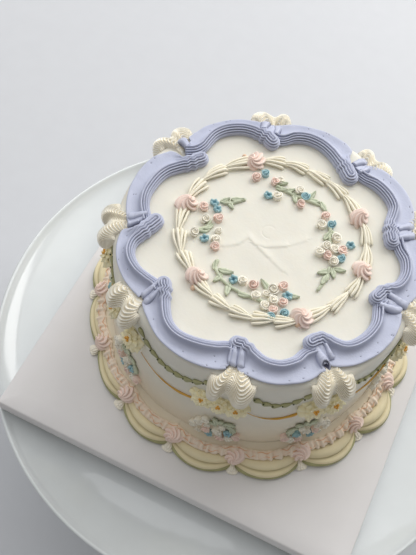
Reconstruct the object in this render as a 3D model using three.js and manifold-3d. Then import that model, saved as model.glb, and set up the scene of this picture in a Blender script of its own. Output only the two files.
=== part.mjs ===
// A round iced cake with piped decoration, on a square board and a round pedestal stand.
// Millimetres, +Z up. The origin is the middle of the stand's foot, where it rests.
import * as THREE from 'three';
import { mergeVertices } from 'three/addons/utils/BufferGeometryUtils.js';
import Module from 'manifold-3d';

const wasm = await Module();
wasm.setup();

// Air left between pieces that touch
const GAP = 0.3;

// Stand: a plate with a turned-up edge on a flared foot
const PLATE_RADIUS = 143.4;
const PLATE_HEIGHT = 92;
const WELL_DEPTH = 9;
const WELL_RADIUS = 116;
const EDGE_WIDTH = 3.2;
const PLATE_THICKNESS = 5;
const STEM_RADIUS = 23;
const FOOT_RADIUS = 66;
const FOOT_EDGE = 3;
const STAND_SIDES = 32;

// Board, resting by its corners on the plate's edge
const BOARD_SIDE = 201.6;
const BOARD_THICKNESS = 9.5;
const BOARD_CORNER = 1.2;
const BOARD_CENTRE = [-2, 1.5];

// Cake
const CAKE_CENTRE = [-3.2, 9.5];
const CAKE_RADIUS = 78;
const CAKE_HEIGHT = 86;
const CAKE_EDGE = 4;
const CAKE_SIDES = 60;

// Scalloped border: one lobe from each cusp to the next. At a cusp the lobe starts in a hooked
// bulb (angle and radius of its tip), beside the folds that end the lobe before it. Crest and
// lip are the radii of the ridged crest and of the flared outer lip in the middle of the lobe.
const CUSPS = [
  { fold: 34.1, bulb: 23.4, reach: 57.8, crest: 69.0, lip: 78.6 },
  { fold: 68.5, bulb: 65.7, reach: 54.6, crest: 66.2, lip: 77.2 },
  { fold: 111.8, bulb: 113.8, reach: 55.0, crest: 66.6, lip: 75.4 },
  { fold: 153.8, bulb: 153.8, reach: 56.0, crest: 68.4, lip: 76.2 },
  { fold: 199.3, bulb: 200.8, reach: 56.6, crest: 69.2, lip: 76.4 },
  { fold: 235.9, bulb: 234.0, reach: 58.6, crest: 70.4, lip: 77.8 },
  { fold: 280.3, bulb: 279.0, reach: 59.4, crest: 68.6, lip: 76.6 },
  { fold: 315.3, bulb: 310.6, reach: 57.4, crest: 66.8, lip: 76.6 },
  { fold: 357.1, bulb: 350.2, reach: 59.2, crest: 67.8, lip: 77.0 },
];
const CREST_HEIGHT = 5.8;
const LIP_HEIGHT = 2.7;
const LOBE_END_RADIUS = 63.5;
const LOBE_STATIONS = 13;

// Double shells that hang over the edge at each cusp
const SHELL_DROP = 16;
const SHELL_HALF_WIDTH = 11;
const SHELL_DEPTH = 7;
const SHELL_STATIONS = 8;
const SHELL_NOTCH = 5;

// Blossoms under the shells, two at each cusp
const BLOSSOM_RADIUS = 7.6;
const BLOSSOM_HEIGHT = 61.5;
const BLOSSOM_SPREAD = 5.8;
const PETALS = 5;

// Garland of beads round the wall, sagging between the shells
const BEAD_LENGTH = 6.8;
const BEAD_HEIGHT = 5.6;
const BEAD_PROUD = 2.3;
const GARLAND_TOP = 79;
const GARLAND_SAG = 11;
const GARLAND_CLEARANCE = 7;

// Little bouquets low on the wall, one at each cusp
const BOUQUET_HEIGHT = 26;
const BOUQUET_RADII = [9.5, 10.5];
const BOUQUET_WIDTH = 7.4;
const BOUQUET_DEPTH = 4;
const BOUQUET_STATIONS = 9;
const BUD_RADIUS = 4.2;
const BUD_SIDES = 5;
const LEAF_LENGTH = 10;
const LEAF_WIDTH = 6;
const LEAF_THICKNESS = 0.9;

// Swags round the foot of the cake, with a rosette and a small shell at each joint
const SWAG_COUNT = 16;
const SWAGS_IN_A_PIECE = 2;
const SWAG_START = 198;
const SWAG_REACH = 94;
const SWAG_TOP = 12;
const ROSETTE_RADIUS = 5;
const ROSETTE_RIDGES = 3;
const ROSETTE_TWIST = 0.5;
const BASE_ROSETTE = { radius: 82.3, height: 10, tilt: 40 };
const FOOT_SHELL = { radius: 90.6, length: 8.4, width: 7.2, height: 6 };

// Wreath and sprays on top
const WREATH_RADIUS = 46.2;
const WREATH_ROSETTES = [6.9, 44.9, 123.1, 181.1, 236.8, 312.7];
const STROKE_LENGTH = 13;
const STROKE_WIDTH = 8;
const STROKE_HEIGHT = 3.6;
const SPRAY_RADIUS = 31;
const SPRAY_PAIRS = 3;
const SPRAYS = [
  { centre: 13, span: 50 },
  { centre: 95, span: 56 },
  { centre: 180, span: 58 },
  { centre: 277, span: 62 },
];

const DEG = Math.PI / 180;
const UP = new THREE.Vector3(0, 0, 1);
const BOARD_TOP = PLATE_HEIGHT + GAP + BOARD_THICKNESS;

const icing = new THREE.MeshStandardMaterial({ color: 0xf1ebdf, roughness: 0.55, metalness: 0 });
const lavender = new THREE.MeshStandardMaterial({ color: 0xb4b6dc, roughness: 0.5, metalness: 0 });
const cream = new THREE.MeshStandardMaterial({ color: 0xf3ead2, roughness: 0.5, metalness: 0 });
const yellow = new THREE.MeshStandardMaterial({ color: 0xefe3b4, roughness: 0.5, metalness: 0 });
const sage = new THREE.MeshStandardMaterial({ color: 0xaebb98, roughness: 0.55, metalness: 0 });
const celadon = new THREE.MeshStandardMaterial({ color: 0xe3dfb9, roughness: 0.5, metalness: 0 });
const card = new THREE.MeshStandardMaterial({ color: 0xebe9ea, roughness: 0.8, metalness: 0 });
const glaze = new THREE.MeshStandardMaterial({ color: 0xdde6e4, roughness: 0.15, metalness: 0 });

// Point at an angle in degrees, a radius and a height
function polar(angle, radius, z = 0) {
  return new THREE.Vector3(radius * Math.cos(angle * DEG), radius * Math.sin(angle * DEG), z);
}

const mix = (a, b, t) => a + (b - a) * t;
const smooth = (a, b, x) => THREE.MathUtils.smoothstep(x, a, b);
const bump = (x, centre, width) => Math.exp(-(((x - centre) / width) ** 2));

// Closed solid from a list of coordinates and a list of corner numbers, faces turned outward
function solid(positions, corners) {
  const at = (n) => new THREE.Vector3().fromArray(positions, 3 * n);
  let volume = 0;
  for (let i = 0; i < corners.length; i += 3) {
    volume += at(corners[i]).dot(at(corners[i + 1]).cross(at(corners[i + 2])));
  }
  if (volume < 0) corners.reverse();
  return new wasm.Manifold(new wasm.Mesh({
    numProp: 3,
    vertProperties: new Float32Array(positions),
    triVerts: new Uint32Array(corners),
  }));
}

// Closed solid through a row of rings with equal numbers of points. The ends are closed from
// their middle, or from their first point where they are flat and convex.
function loft(rings, flatEnds = false) {
  const count = rings[0].length;
  const points = rings.flat();
  const corners = [];
  for (let i = 0; i + 1 < rings.length; i++) {
    for (let j = 0; j < count; j++) {
      const a = i * count + j;
      const b = i * count + ((j + 1) % count);
      corners.push(a, b, b + count, a, b + count, a + count);
    }
  }
  for (const end of [0, rings.length - 1]) {
    const first = end * count;
    let hub = first;
    if (!flatEnds) {
      const middle = new THREE.Vector3();
      rings[end].forEach((p) => middle.addScaledVector(p, 1 / count));
      hub = points.push(middle) - 1;
    }
    for (let j = flatEnds ? 1 : 0; j < count - (flatEnds ? 1 : 0); j++) {
      const pair = [first + j, first + ((j + 1) % count)];
      if (end === 0) pair.reverse();
      corners.push(hub, ...pair);
    }
  }
  return solid(points.flatMap((p) => p.toArray()), corners);
}

// Flat outline moved outward by grow, each point along the mean of its two edges' normals
function widened(outline, grow) {
  const points = outline.map(([u, w]) => new THREE.Vector2(u, w));
  const turn = THREE.ShapeUtils.isClockWise(points) ? -1 : 1;
  return points.map((p, j) => {
    const before = p.clone().sub(points.at(j - 1)).normalize();
    const after = points[(j + 1) % points.length].clone().sub(p).normalize();
    const along = before.clone().add(after).normalize();
    const reach = grow / Math.max(0.5, along.dot(after));
    return [p.x + turn * along.y * reach, p.y - turn * along.x * reach];
  });
}

// Ring of points from a frame (origin and two axes) and a flat outline, grown outward by grow
function ring(frame, outline, grow = 0) {
  const drawn = grow ? widened(outline, grow) : outline;
  return drawn.map(([u, w]) => frame.origin.clone()
    .addScaledVector(frame.across, u)
    .addScaledVector(frame.up, w));
}

// Two directions square to an axis and to each other
function squareTo(axis) {
  const helper = Math.abs(axis.z) > 0.9 ? new THREE.Vector3(1, 0, 0) : UP;
  const across = helper.clone().cross(axis).normalize();
  return { across, up: axis.clone().cross(across) };
}

// The solid of a three.js geometry
function fromGeometry(geometry) {
  geometry.deleteAttribute('normal');
  geometry.deleteAttribute('uv');
  const merged = mergeVertices(geometry, 1e-4);
  return solid([...merged.attributes.position.array], [...merged.index.array]);
}

// Surface of revolution about Z from a profile of [radius, height] points
function turned(profile, sides) {
  const points = profile.map(([r, z]) => new THREE.Vector2(r, z));
  return fromGeometry(new THREE.LatheGeometry(points, sides).rotateX(Math.PI / 2));
}

const join = (parts) => parts.reduce((whole, part) => whole.add(part));
const cut = (part, tools) => tools.reduce((left, tool) => left.subtract(tool), part);

// Mesh of the largest body of a solid, so that no loose scrap is left
function mesh(name, whole, material) {
  const bodies = whole.decompose().sort((a, b) => b.volume() - a.volume());
  const { vertProperties, triVerts } = bodies[0].getMesh();
  const geometry = new THREE.BufferGeometry();
  geometry.setAttribute('position', new THREE.BufferAttribute(vertProperties, 3));
  geometry.setIndex(new THREE.BufferAttribute(triVerts, 1));
  geometry.computeVertexNormals();
  const made = new THREE.Mesh(geometry, material);
  made.name = name;
  return made;
}

// Ellipse as an outline, counterclockwise, starting at +u
function oval(count, halfWidth, halfHeight, centre = [0, 0]) {
  return Array.from({ length: count }, (_, j) => {
    const turn = (2 * Math.PI * j) / count;
    return [centre[0] + halfWidth * Math.cos(turn), centre[1] + halfHeight * Math.sin(turn)];
  });
}

function stand() {
  const well = PLATE_HEIGHT - WELL_DEPTH;
  const under = well - PLATE_THICKNESS;
  return turned([
    [0, 0],
    [FOOT_RADIUS, 0],
    [FOOT_RADIUS, FOOT_EDGE],
    [FOOT_RADIUS * 0.66, FOOT_EDGE * 3],
    [STEM_RADIUS * 1.12, under * 0.34],
    [STEM_RADIUS, under * 0.55],
    [STEM_RADIUS * 1.5, under * 0.84],
    [STEM_RADIUS * 2.6, under],
    [WELL_RADIUS, under],
    [PLATE_RADIUS, PLATE_HEIGHT - EDGE_WIDTH],
    [PLATE_RADIUS, PLATE_HEIGHT],
    [PLATE_RADIUS - EDGE_WIDTH, PLATE_HEIGHT],
    [PLATE_RADIUS - 3 * EDGE_WIDTH, well + WELL_DEPTH * 0.42],
    [WELL_RADIUS, well],
    [0, well],
  ], STAND_SIDES);
}

function board() {
  const half = BOARD_SIDE / 2;
  const side = half - BOARD_CORNER;
  const outline = new THREE.Shape([
    [half, side], [side, half], [-side, half], [-half, side],
    [-half, -side], [-side, -half], [side, -half], [half, -side],
  ].map(([x, y]) => new THREE.Vector2(x, y)));
  const slab = { depth: BOARD_THICKNESS, bevelEnabled: false };
  return fromGeometry(new THREE.ExtrudeGeometry(outline, slab));
}

function cakeBody() {
  const profile = [[0, GAP], [CAKE_RADIUS, GAP]];
  for (const turn of [0, 45, 90]) {
    const r = CAKE_RADIUS - CAKE_EDGE * (1 - Math.cos(turn * DEG));
    profile.push([r, CAKE_HEIGHT - CAKE_EDGE * (1 - Math.sin(turn * DEG))]);
  }
  return turned([...profile, [0, CAKE_HEIGHT]], CAKE_SIDES);
}

// Beads of the wall garland between one cusp and the next
function garland(k) {
  const from = CUSPS[k].fold + GARLAND_CLEARANCE;
  const to = nextFold(k) - GARLAND_CLEARANCE;
  const count = Math.round(((to - from) * DEG * CAKE_RADIUS) / BEAD_LENGTH);
  return Array.from({ length: count }, (_, n) => {
    const t = (n + 0.5) / count;
    const z = GARLAND_TOP - GARLAND_SAG * (1 - (2 * t - 1) ** 2);
    const bead = new THREE.OctahedronGeometry(1, 0);
    bead.scale(BEAD_PROUD, BEAD_LENGTH / 2, BEAD_HEIGHT / 2).rotateZ(mix(from, to, t) * DEG);
    const place = polar(mix(from, to, t), CAKE_RADIUS + 0.4, z);
    return fromGeometry(bead.translate(place.x, place.y, place.z));
  });
}

function nextFold(k) {
  return CUSPS[(k + 1) % CUSPS.length].fold + (k + 1 < CUSPS.length ? 0 : 360);
}

// Cross-section of the border from its inner foot over the ridged crest and down the cove to
// the lip: [outward, up]. The lip comes out as open goes from 0 to 1, fold raises the cove.
function borderSection(lipReach, open, fold, size) {
  const reach = mix(4.2, lipReach, open);
  const cove = mix(3.4, 2.4, open) + 1.6 * fold;
  const lip = mix(2.0, LIP_HEIGHT, open) + 1.0 * fold;
  const top = CREST_HEIGHT;
  return [
    [-3.2, 0], [-3.6, top * 0.38], [-3.0, top * 0.76],
    [-1.5, top * 0.97], [-0.4, top * 0.86], [0.8, top], [2.2, top * 0.86],
    [mix(3.6, 4.2, open), mix(top * 0.7, cove + 0.9, open)],
    [mix(3.9, (reach + 4.2) / 2, open), cove],
    [reach, lip], [mix(3.4, reach - 1.6, open), 0],
  ].map(([u, w]) => [u * size, w * size + GAP]);
}

// One lobe of the border, from the bulb at cusp k to the folds at the next cusp
function lobe(k, grow = 0) {
  const start = CUSPS[k];
  const next = CUSPS[(k + 1) % CUSPS.length];
  const lap = k + 1 < CUSPS.length ? 0 : 360;
  const to = Math.min(next.fold, next.bulb) + lap - 2.4;
  const span = to - start.fold;
  const curve = new THREE.CatmullRomCurve3([
    polar(start.bulb, start.reach),
    polar(mix(start.bulb, start.fold + 2.5, 0.55), start.reach + 4.6),
    polar(start.fold + 0.14 * span, start.crest - 2.2),
    polar(start.fold + 0.32 * span, start.crest - 0.2),
    polar(start.fold + 0.58 * span, start.crest),
    polar(start.fold + 0.84 * span, start.crest - 1.4),
    polar(to, LOBE_END_RADIUS),
  ], false, 'centripetal');
  const rings = [];
  for (let i = 0; i < LOBE_STATIONS; i++) {
    const t = 0.5 - 0.5 * Math.cos((Math.PI * i) / (LOBE_STATIONS - 1));
    const forward = curve.getTangentAt(t);
    const origin = curve.getPointAt(t).setZ(CAKE_HEIGHT);
    const frame = { origin, across: forward.clone().cross(UP), up: UP };
    if (i === 0) origin.addScaledVector(forward, -grow);
    if (i === LOBE_STATIONS - 1) origin.addScaledVector(forward, grow);
    const fold = bump(t, 0.9, 0.022) + bump(t, 0.985, 0.02);
    const size = i === 0 ? 0.5 : mix(1.12, 1, smooth(0.1, 0.3, t));
    const lip = start.lip - start.crest - 0.3 * bump(t, 0.9, 0.1);
    rings.push(ring(frame, borderSection(lip, smooth(0.02, 0.2, t), fold, size), grow));
  }
  return loft(rings);
}

// Double shell that starts at the edge and hangs over the wall: two ridged tongues side by side,
// with a valley between them that deepens towards the tips
function shellPair(angle) {
  const path = new THREE.CatmullRomCurve3([
    [75.8, CAKE_HEIGHT + 0.8], [78, CAKE_HEIGHT + 0.5], [79, CAKE_HEIGHT - 3.4],
    [78.8, CAKE_HEIGHT - SHELL_DROP * 0.55], [78.7, CAKE_HEIGHT - SHELL_DROP],
  ].map(([r, z]) => new THREE.Vector3(r, 0, z)));
  const rings = [];
  for (let i = 0; i < SHELL_STATIONS; i++) {
    const t = i / (SHELL_STATIONS - 1);
    const foot = path.getPointAt(t);
    const forward = path.getTangentAt(t);
    const tip = i === SHELL_STATIONS - 1 ? 0.5 : 1;
    const ridge = tip * (i % 2 ? 1.06 : 0.94);
    const half = SHELL_HALF_WIDTH * mix(1, tip, 0.4) * Math.sin(Math.PI * mix(0.1, 0.7, t)) ** 0.8;
    const deep = SHELL_DEPTH * ridge * Math.sin(Math.PI * mix(0.12, 0.8, t)) ** 0.7;
    const valley = deep * mix(0.8, 0.4, t);
    const outline = [
      [-0.8, 0], [-1, deep * 0.45], [-0.55, deep], [0, valley],
      [0.55, deep], [1, deep * 0.45], [0.8, 0], [0, 0],
    ];
    rings.push(outline.map(([side, depth]) => {
      const radius = foot.x - forward.z * depth;
      const lag = SHELL_NOTCH * smooth(0.5, 1, t) * Math.abs(Math.abs(side) - 0.55);
      const turn = (side * half) / (CAKE_RADIUS * DEG);
      return polar(angle + turn, radius, foot.z + forward.x * depth + lag);
    }));
  }
  return loft(rings);
}

// Ruffled blossom against the wall, with wavy petals: side is -1 or 1
function blossom(angle, z, side) {
  const outward = polar(angle, 1);
  const across = polar(angle + 90, 1);
  const origin = outward.clone().multiplyScalar(CAKE_RADIUS + GAP).addScaledVector(UP, z);
  const outline = (radius, wave, depth) => Array.from({ length: 2 * PETALS }, (_, j) => {
    const turn = (Math.PI * j) / PETALS;
    const r = radius * side * (j % 2 ? 1 - wave : 1 + wave);
    return origin.clone()
      .addScaledVector(across, r * Math.cos(turn))
      .addScaledVector(UP, r * Math.sin(turn))
      .addScaledVector(outward, depth + (j % 2 ? -8 : 8) * wave);
  });
  return loft([outline(BLOSSOM_RADIUS * 0.7, 0.03, 0.3), outline(BLOSSOM_RADIUS, 0.16, 4.6)]);
}

// Round bud on a surface
function bud(origin, outward, radius) {
  const levels = [[0.75, 0], [1, 0.7], [0.4, 1.4]];
  return loft(levels.map(([wide, tall]) => {
    const middle = origin.clone().addScaledVector(outward, tall * radius);
    const outline = oval(BUD_SIDES, wide * radius, wide * radius);
    return ring({ origin: middle, ...squareTo(outward) }, outline);
  }), true);
}

// Thin leaf from origin along forward, humped along its midrib and waved at its edge
function leaf(origin, forward, outward, length) {
  const side = forward.clone().cross(outward).normalize();
  const face = (lift) => [
    [0, 0, 0.4], [0.45, -0.5, 0.7], [0.5, 0, 1.8], [0.4, 0.5, 1.1], [1, 0, 0.5],
  ].map(([along, off, high]) => origin.clone()
    .addScaledVector(forward, along * length)
    .addScaledVector(side, off * LEAF_WIDTH)
    .addScaledVector(outward, high + lift));
  const top = [[0, 2, 1], [0, 3, 2], [1, 2, 4], [2, 3, 4]];
  const edge = [0, 1, 4, 3];
  const count = 5;
  const corners = top.flat();
  top.forEach(([a, b, c]) => corners.push(a + count, c + count, b + count));
  edge.forEach((a, n) => {
    const b = edge[(n + 1) % edge.length];
    corners.push(a, b, b + count, a, b + count, a + count);
  });
  const points = [...face(LEAF_THICKNESS), ...face(0)];
  return solid(points.flatMap((p) => p.toArray()), corners);
}

// Small bouquet on the wall: an arch of buds with two leaves on top
function bouquet(angle) {
  const at = (turn, reach, depth) => polar(
    angle - (reach * BOUQUET_RADII[0] * Math.cos(turn * DEG)) / (CAKE_RADIUS * DEG),
    CAKE_RADIUS + GAP + depth,
    BOUQUET_HEIGHT + reach * BOUQUET_RADII[1] * Math.sin(turn * DEG),
  );
  const rings = [];
  for (let i = 0; i < BOUQUET_STATIONS; i++) {
    const turn = mix(-55, 235, i / (BOUQUET_STATIONS - 1));
    const size = i % 2 ? 1 : 0.66;
    const half = (size * BOUQUET_WIDTH) / 2 / BOUQUET_RADII[0];
    const depth = size * BOUQUET_DEPTH;
    rings.push([at(turn, 1 - half, 0.2), at(turn, 1 - half * 0.6, depth),
      at(turn, 1 + half * 0.6, depth), at(turn, 1 + half, 0.2)]);
  }
  const leaves = [55, 120].map((turn) => {
    const root = at(turn, 0.9, 0.6);
    const forward = at(turn, 1.1, 0.6).sub(root).normalize();
    return leaf(root, forward, polar(angle, 1), LEAF_LENGTH);
  });
  return join([loft(rings, true), ...leaves]);
}

// Ridged swirl on an axis, point outward
function rosette(origin, axis, radius, grow = 0) {
  const levels = [[0.88, 0], [1, 0.42], [0.34, 1.1]];
  return loft(levels.map(([wide, tall], n) => {
    const middle = origin.clone().addScaledVector(axis, tall * radius + (n - 1) * grow);
    const star = Array.from({ length: 2 * ROSETTE_RIDGES }, (_, j) => {
      const turn = (Math.PI * j) / ROSETTE_RIDGES + n * ROSETTE_TWIST;
      const r = radius * wide * (j % 2 ? 1 : 0.8);
      return [r * Math.cos(turn), r * Math.sin(turn)];
    });
    return ring({ origin: middle, ...squareTo(axis) }, star, grow);
  }));
}

// Where swag number n starts
const swagAngle = (n) => SWAG_START + (n * 360) / SWAG_COUNT;

// Draped swag on the board from one joint to the next: outline in [outward, up]
function swag(n) {
  const from = swagAngle(n) + 0.9;
  const to = swagAngle(n + 1) - 0.9;
  const rings = [];
  for (const t of [0, 0.28, 0.72, 1]) {
    const full = Math.sin(Math.PI * mix(0.04, 0.96, t)) ** 0.6;
    const reach = mix(86.5, SWAG_REACH, full);
    const top = mix(10, SWAG_TOP, full);
    const frame = { origin: new THREE.Vector3(), across: polar(mix(from, to, t), 1), up: UP };
    rings.push(ring(frame, [
      [CAKE_RADIUS + 0.8, GAP], [CAKE_RADIUS + 0.8, top * 0.9], [82.5, top],
      [mix(83, reach, 0.5), top * 0.6], [mix(83, reach, 0.66), top * 0.62], [reach, GAP + 1.4],
    ]));
  }
  return loft(rings);
}

function baseRosette(angle, grow = 0) {
  const tilt = BASE_ROSETTE.tilt * DEG;
  const axis = polar(angle, Math.cos(tilt), Math.sin(tilt));
  const origin = polar(angle, BASE_ROSETTE.radius, BASE_ROSETTE.height);
  return rosette(origin, axis, ROSETTE_RADIUS, grow);
}

// Small shell on the board in front of a joint
function footShell(angle, grow = 0) {
  const { radius, length, width, height } = FOOT_SHELL;
  return loft([[-1, 0.7], [0.2, 1], [1, 0.55]].map(([along, size]) => {
    const origin = polar(angle, radius + (along * length) / 2 + Math.sign(along) * grow);
    const middle = [0, (height / 2) * size + GAP];
    const outline = oval(5, (width / 2) * size, (height / 2) * size, middle);
    return ring({ origin, across: polar(angle + 90, 1), up: UP }, outline, grow);
  }), true);
}

// Two swags with the rosettes and small shells that start them
function basePiece(n) {
  const pieces = [];
  for (let s = 0; s < SWAGS_IN_A_PIECE; s++) {
    const angle = swagAngle(n * SWAGS_IN_A_PIECE + s);
    pieces.push(swag(n * SWAGS_IN_A_PIECE + s), baseRosette(angle), footShell(angle));
  }
  const end = swagAngle((n + 1) * SWAGS_IN_A_PIECE);
  return cut(join(pieces), [baseRosette(end, GAP), footShell(end, GAP)]);
}

// Arc of the wreath from one rosette to the next: overlapping strokes that start at a rosette
function wreathPiece(k) {
  const from = WREATH_ROSETTES[k];
  const last = k + 1 === WREATH_ROSETTES.length;
  const to = WREATH_ROSETTES[(k + 1) % WREATH_ROSETTES.length] + (last ? 360 : 0);
  const top = CAKE_HEIGHT + GAP;
  const clear = (ROSETTE_RADIUS + GAP) / (WREATH_RADIUS * DEG);
  const count = Math.round(((to - from) * DEG * WREATH_RADIUS) / STROKE_LENGTH);
  const rings = [];
  for (let i = 0; i <= 2 * count; i++) {
    const angle = mix(from + clear / 2, to - clear, i / (2 * count));
    const size = i % 2 ? 1 : 0.66;
    const frame = { origin: polar(angle, WREATH_RADIUS, top), across: polar(angle, 1), up: UP };
    const high = STROKE_HEIGHT * size;
    const wide = (STROKE_WIDTH * size) / 2;
    rings.push(ring(frame, [[-wide, 0], [-wide, high * 0.6], [0, high], [wide, high * 0.6], [wide, 0]]));
  }
  return join([loft(rings, true), rosette(polar(from, WREATH_RADIUS, top), UP, ROSETTE_RADIUS)]);
}

// Spray on top: a bent chain of leaves and buds
function spray({ centre, span }) {
  const top = CAKE_HEIGHT + GAP;
  const pieces = [];
  for (let n = 0; n < SPRAY_PAIRS; n++) {
    const angle = centre + span * (n / SPRAY_PAIRS - 0.5);
    const step = span / SPRAY_PAIRS;
    const place = polar(angle, SPRAY_RADIUS + (n % 2 ? -2 : 2), top);
    const stem = polar(angle + step * 0.1, SPRAY_RADIUS, top);
    const length = step * DEG * SPRAY_RADIUS;
    pieces.push(bud(place, UP, BUD_RADIUS));
    pieces.push(leaf(stem, polar(angle + step * 0.5 + 90, 1), UP, length * 1.1));
  }
  return join(pieces);
}

const part = new THREE.Group();
part.add(mesh('stand', stand(), glaze));

const boardMesh = mesh('board', board(), card);
boardMesh.position.set(...BOARD_CENTRE, PLATE_HEIGHT + GAP);
part.add(boardMesh);

const cake = new THREE.Group();
cake.position.set(...CAKE_CENTRE, BOARD_TOP);
part.add(cake);

const cuspNumbers = CUSPS.map((_, k) => k);
cake.add(mesh('cake', join([cakeBody(), ...cuspNumbers.flatMap(garland)]), icing));
const grownLobes = cuspNumbers.map((k) => lobe(k, GAP));
for (const k of cuspNumbers) {
  const { fold } = CUSPS[k];
  const before = grownLobes.at(k - 1);
  const after = grownLobes[(k + 1) % CUSPS.length];
  const name = k + 1;
  cake.add(mesh(`border_lobe_${name}`, cut(lobe(k), [after]), lavender));
  const shells = cut(shellPair(fold), [before, grownLobes[k]]);
  cake.add(mesh(`shell_pair_${name}`, shells, cream));
  const spread = BLOSSOM_SPREAD / (CAKE_RADIUS * DEG);
  const flowers = join([-1, 1].map((s) => blossom(fold - s * spread, BLOSSOM_HEIGHT + s, s)));
  cake.add(mesh(`blossoms_${name}`, flowers, yellow));
  cake.add(mesh(`bouquet_${name}`, bouquet(fold), sage));
}
for (let n = 0; n < SWAG_COUNT / SWAGS_IN_A_PIECE; n++) {
  cake.add(mesh(`base_swags_${n + 1}`, basePiece(n), celadon));
}
WREATH_ROSETTES.forEach((_, k) => cake.add(mesh(`wreath_${k + 1}`, wreathPiece(k), cream)));
SPRAYS.forEach((place, k) => cake.add(mesh(`spray_${k + 1}`, spray(place), sage)));

export default part;
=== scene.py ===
"""Looks of a round iced cake with piped decoration, on a board and a pedestal stand.

Shapes are worked out in millimetres in the cake's own frame: origin on the cake's axis, on top
of the board. CAKE_AT carries that frame into the part's frame, which is in metres.
"""
import math
import random

import bpy
import numpy as np
from mathutils import Matrix, Vector


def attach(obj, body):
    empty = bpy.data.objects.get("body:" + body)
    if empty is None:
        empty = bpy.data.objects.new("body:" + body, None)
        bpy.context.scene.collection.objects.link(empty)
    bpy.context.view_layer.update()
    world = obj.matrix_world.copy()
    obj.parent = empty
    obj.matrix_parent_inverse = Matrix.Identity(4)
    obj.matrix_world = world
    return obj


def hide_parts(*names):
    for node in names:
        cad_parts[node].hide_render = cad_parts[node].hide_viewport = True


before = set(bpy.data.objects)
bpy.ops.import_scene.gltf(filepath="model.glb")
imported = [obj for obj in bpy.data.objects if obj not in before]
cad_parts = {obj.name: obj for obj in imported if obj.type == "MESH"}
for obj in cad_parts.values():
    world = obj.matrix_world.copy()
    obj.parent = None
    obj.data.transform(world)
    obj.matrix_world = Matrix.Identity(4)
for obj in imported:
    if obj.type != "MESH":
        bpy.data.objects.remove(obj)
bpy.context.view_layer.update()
rng = random.Random(7)

MM = 0.001
CAKE_AT = np.array([-3.2, 9.5, 101.8])
TOP = 86.0
WALL = 78.0
EDGE = 4.0

# Each cusp of the border and the lobe that starts there: angle of the folds, radius of the lip
# in the lobe's middle, then the length and size of its bulb and the ripple of the bulb's ridges
CUSPS = [
    (34.1, 79.3, 10.0, 1.0, 0.6),
    (68.5, 77.0, 10.5, 1.15, 0.35),
    (112.5, 77.0, 9.0, 1.05, 0.6),
    (153.8, 76.6, 10.0, 1.0, 0.5),
    (199.3, 77.2, 12.5, 1.08, 0.35),
    (235.9, 78.8, 7.5, 0.95, 0.65),
    (280.3, 76.8, 6.5, 0.95, 0.5),
    (315.3, 76.4, 8.0, 1.0, 0.3),
    (357.1, 77.2, 8.5, 0.95, 0.45),
]
# Route of each lobe's crest as [angle, radius], from the middle of its bulb's tip to its end,
# which the next bulb covers
ROUTES = [
    [(27.3, 60.6), (31.5, 60.9), (36.9, 62.8), (40.8, 65.8), (44.6, 68.6), (51.5, 69.3),
     (59.2, 67.8), (64.5, 65.6), (68.5, 65.0)],
    [(69.3, 58.9), (72.9, 60.6), (76.3, 62.4), (80.0, 63.8), (84.1, 65.9), (90.2, 68.1),
     (97.1, 68.6), (103.3, 66.9), (108.7, 63.9), (112.5, 65.0)],
    [(113.1, 60.4), (115.3, 63.0), (118.4, 65.8), (122.0, 68.3), (126.5, 70.3), (133.5, 71.2),
     (139.4, 70.0), (144.0, 67.4), (147.5, 65.4), (151.5, 65.2), (155.4, 67.8)],
    [(152.5, 58.4), (156.0, 59.2), (160.0, 60.6), (164.5, 63.0), (169.5, 65.6), (176.0, 67.1),
     (185.5, 67.6), (191.5, 66.4), (195.8, 64.4), (199.0, 63.0)],
    [(198.6, 57.9), (201.4, 60.3), (204.5, 63.4), (207.2, 66.4), (210.3, 69.4), (214.0, 71.2),
     (218.1, 71.4), (223.8, 69.6), (228.5, 66.3), (231.5, 64.2), (235.0, 64.4)],
    [(233.4, 59.6), (235.4, 60.6), (237.9, 62.3), (240.9, 64.9), (244.0, 67.3), (248.2, 70.2),
     (252.5, 71.6), (257.1, 71.4), (265.6, 68.6), (270.5, 66.2), (274.6, 63.9), (278.5, 64.6)],
    [(277.6, 60.4), (279.8, 60.5), (282.8, 61.9), (285.6, 63.9), (288.3, 66.0), (291.3, 67.5),
     (297.1, 68.4), (303.5, 66.4), (308.0, 63.2), (312.5, 62.4)],
    [(311.6, 58.0), (315.5, 57.4), (318.8, 59.0), (321.3, 62.0), (324.0, 65.2), (327.4, 67.1),
     (334.7, 67.9), (342.2, 66.7), (347.8, 63.8), (351.5, 62.0), (355.0, 62.8)],
    [(353.8, 58.1), (357.0, 59.0), (359.8, 60.9), (362.0, 63.6), (364.6, 66.4), (371.0, 68.5),
     (377.8, 67.9), (383.9, 65.3), (388.5, 64.8)],
]
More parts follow.
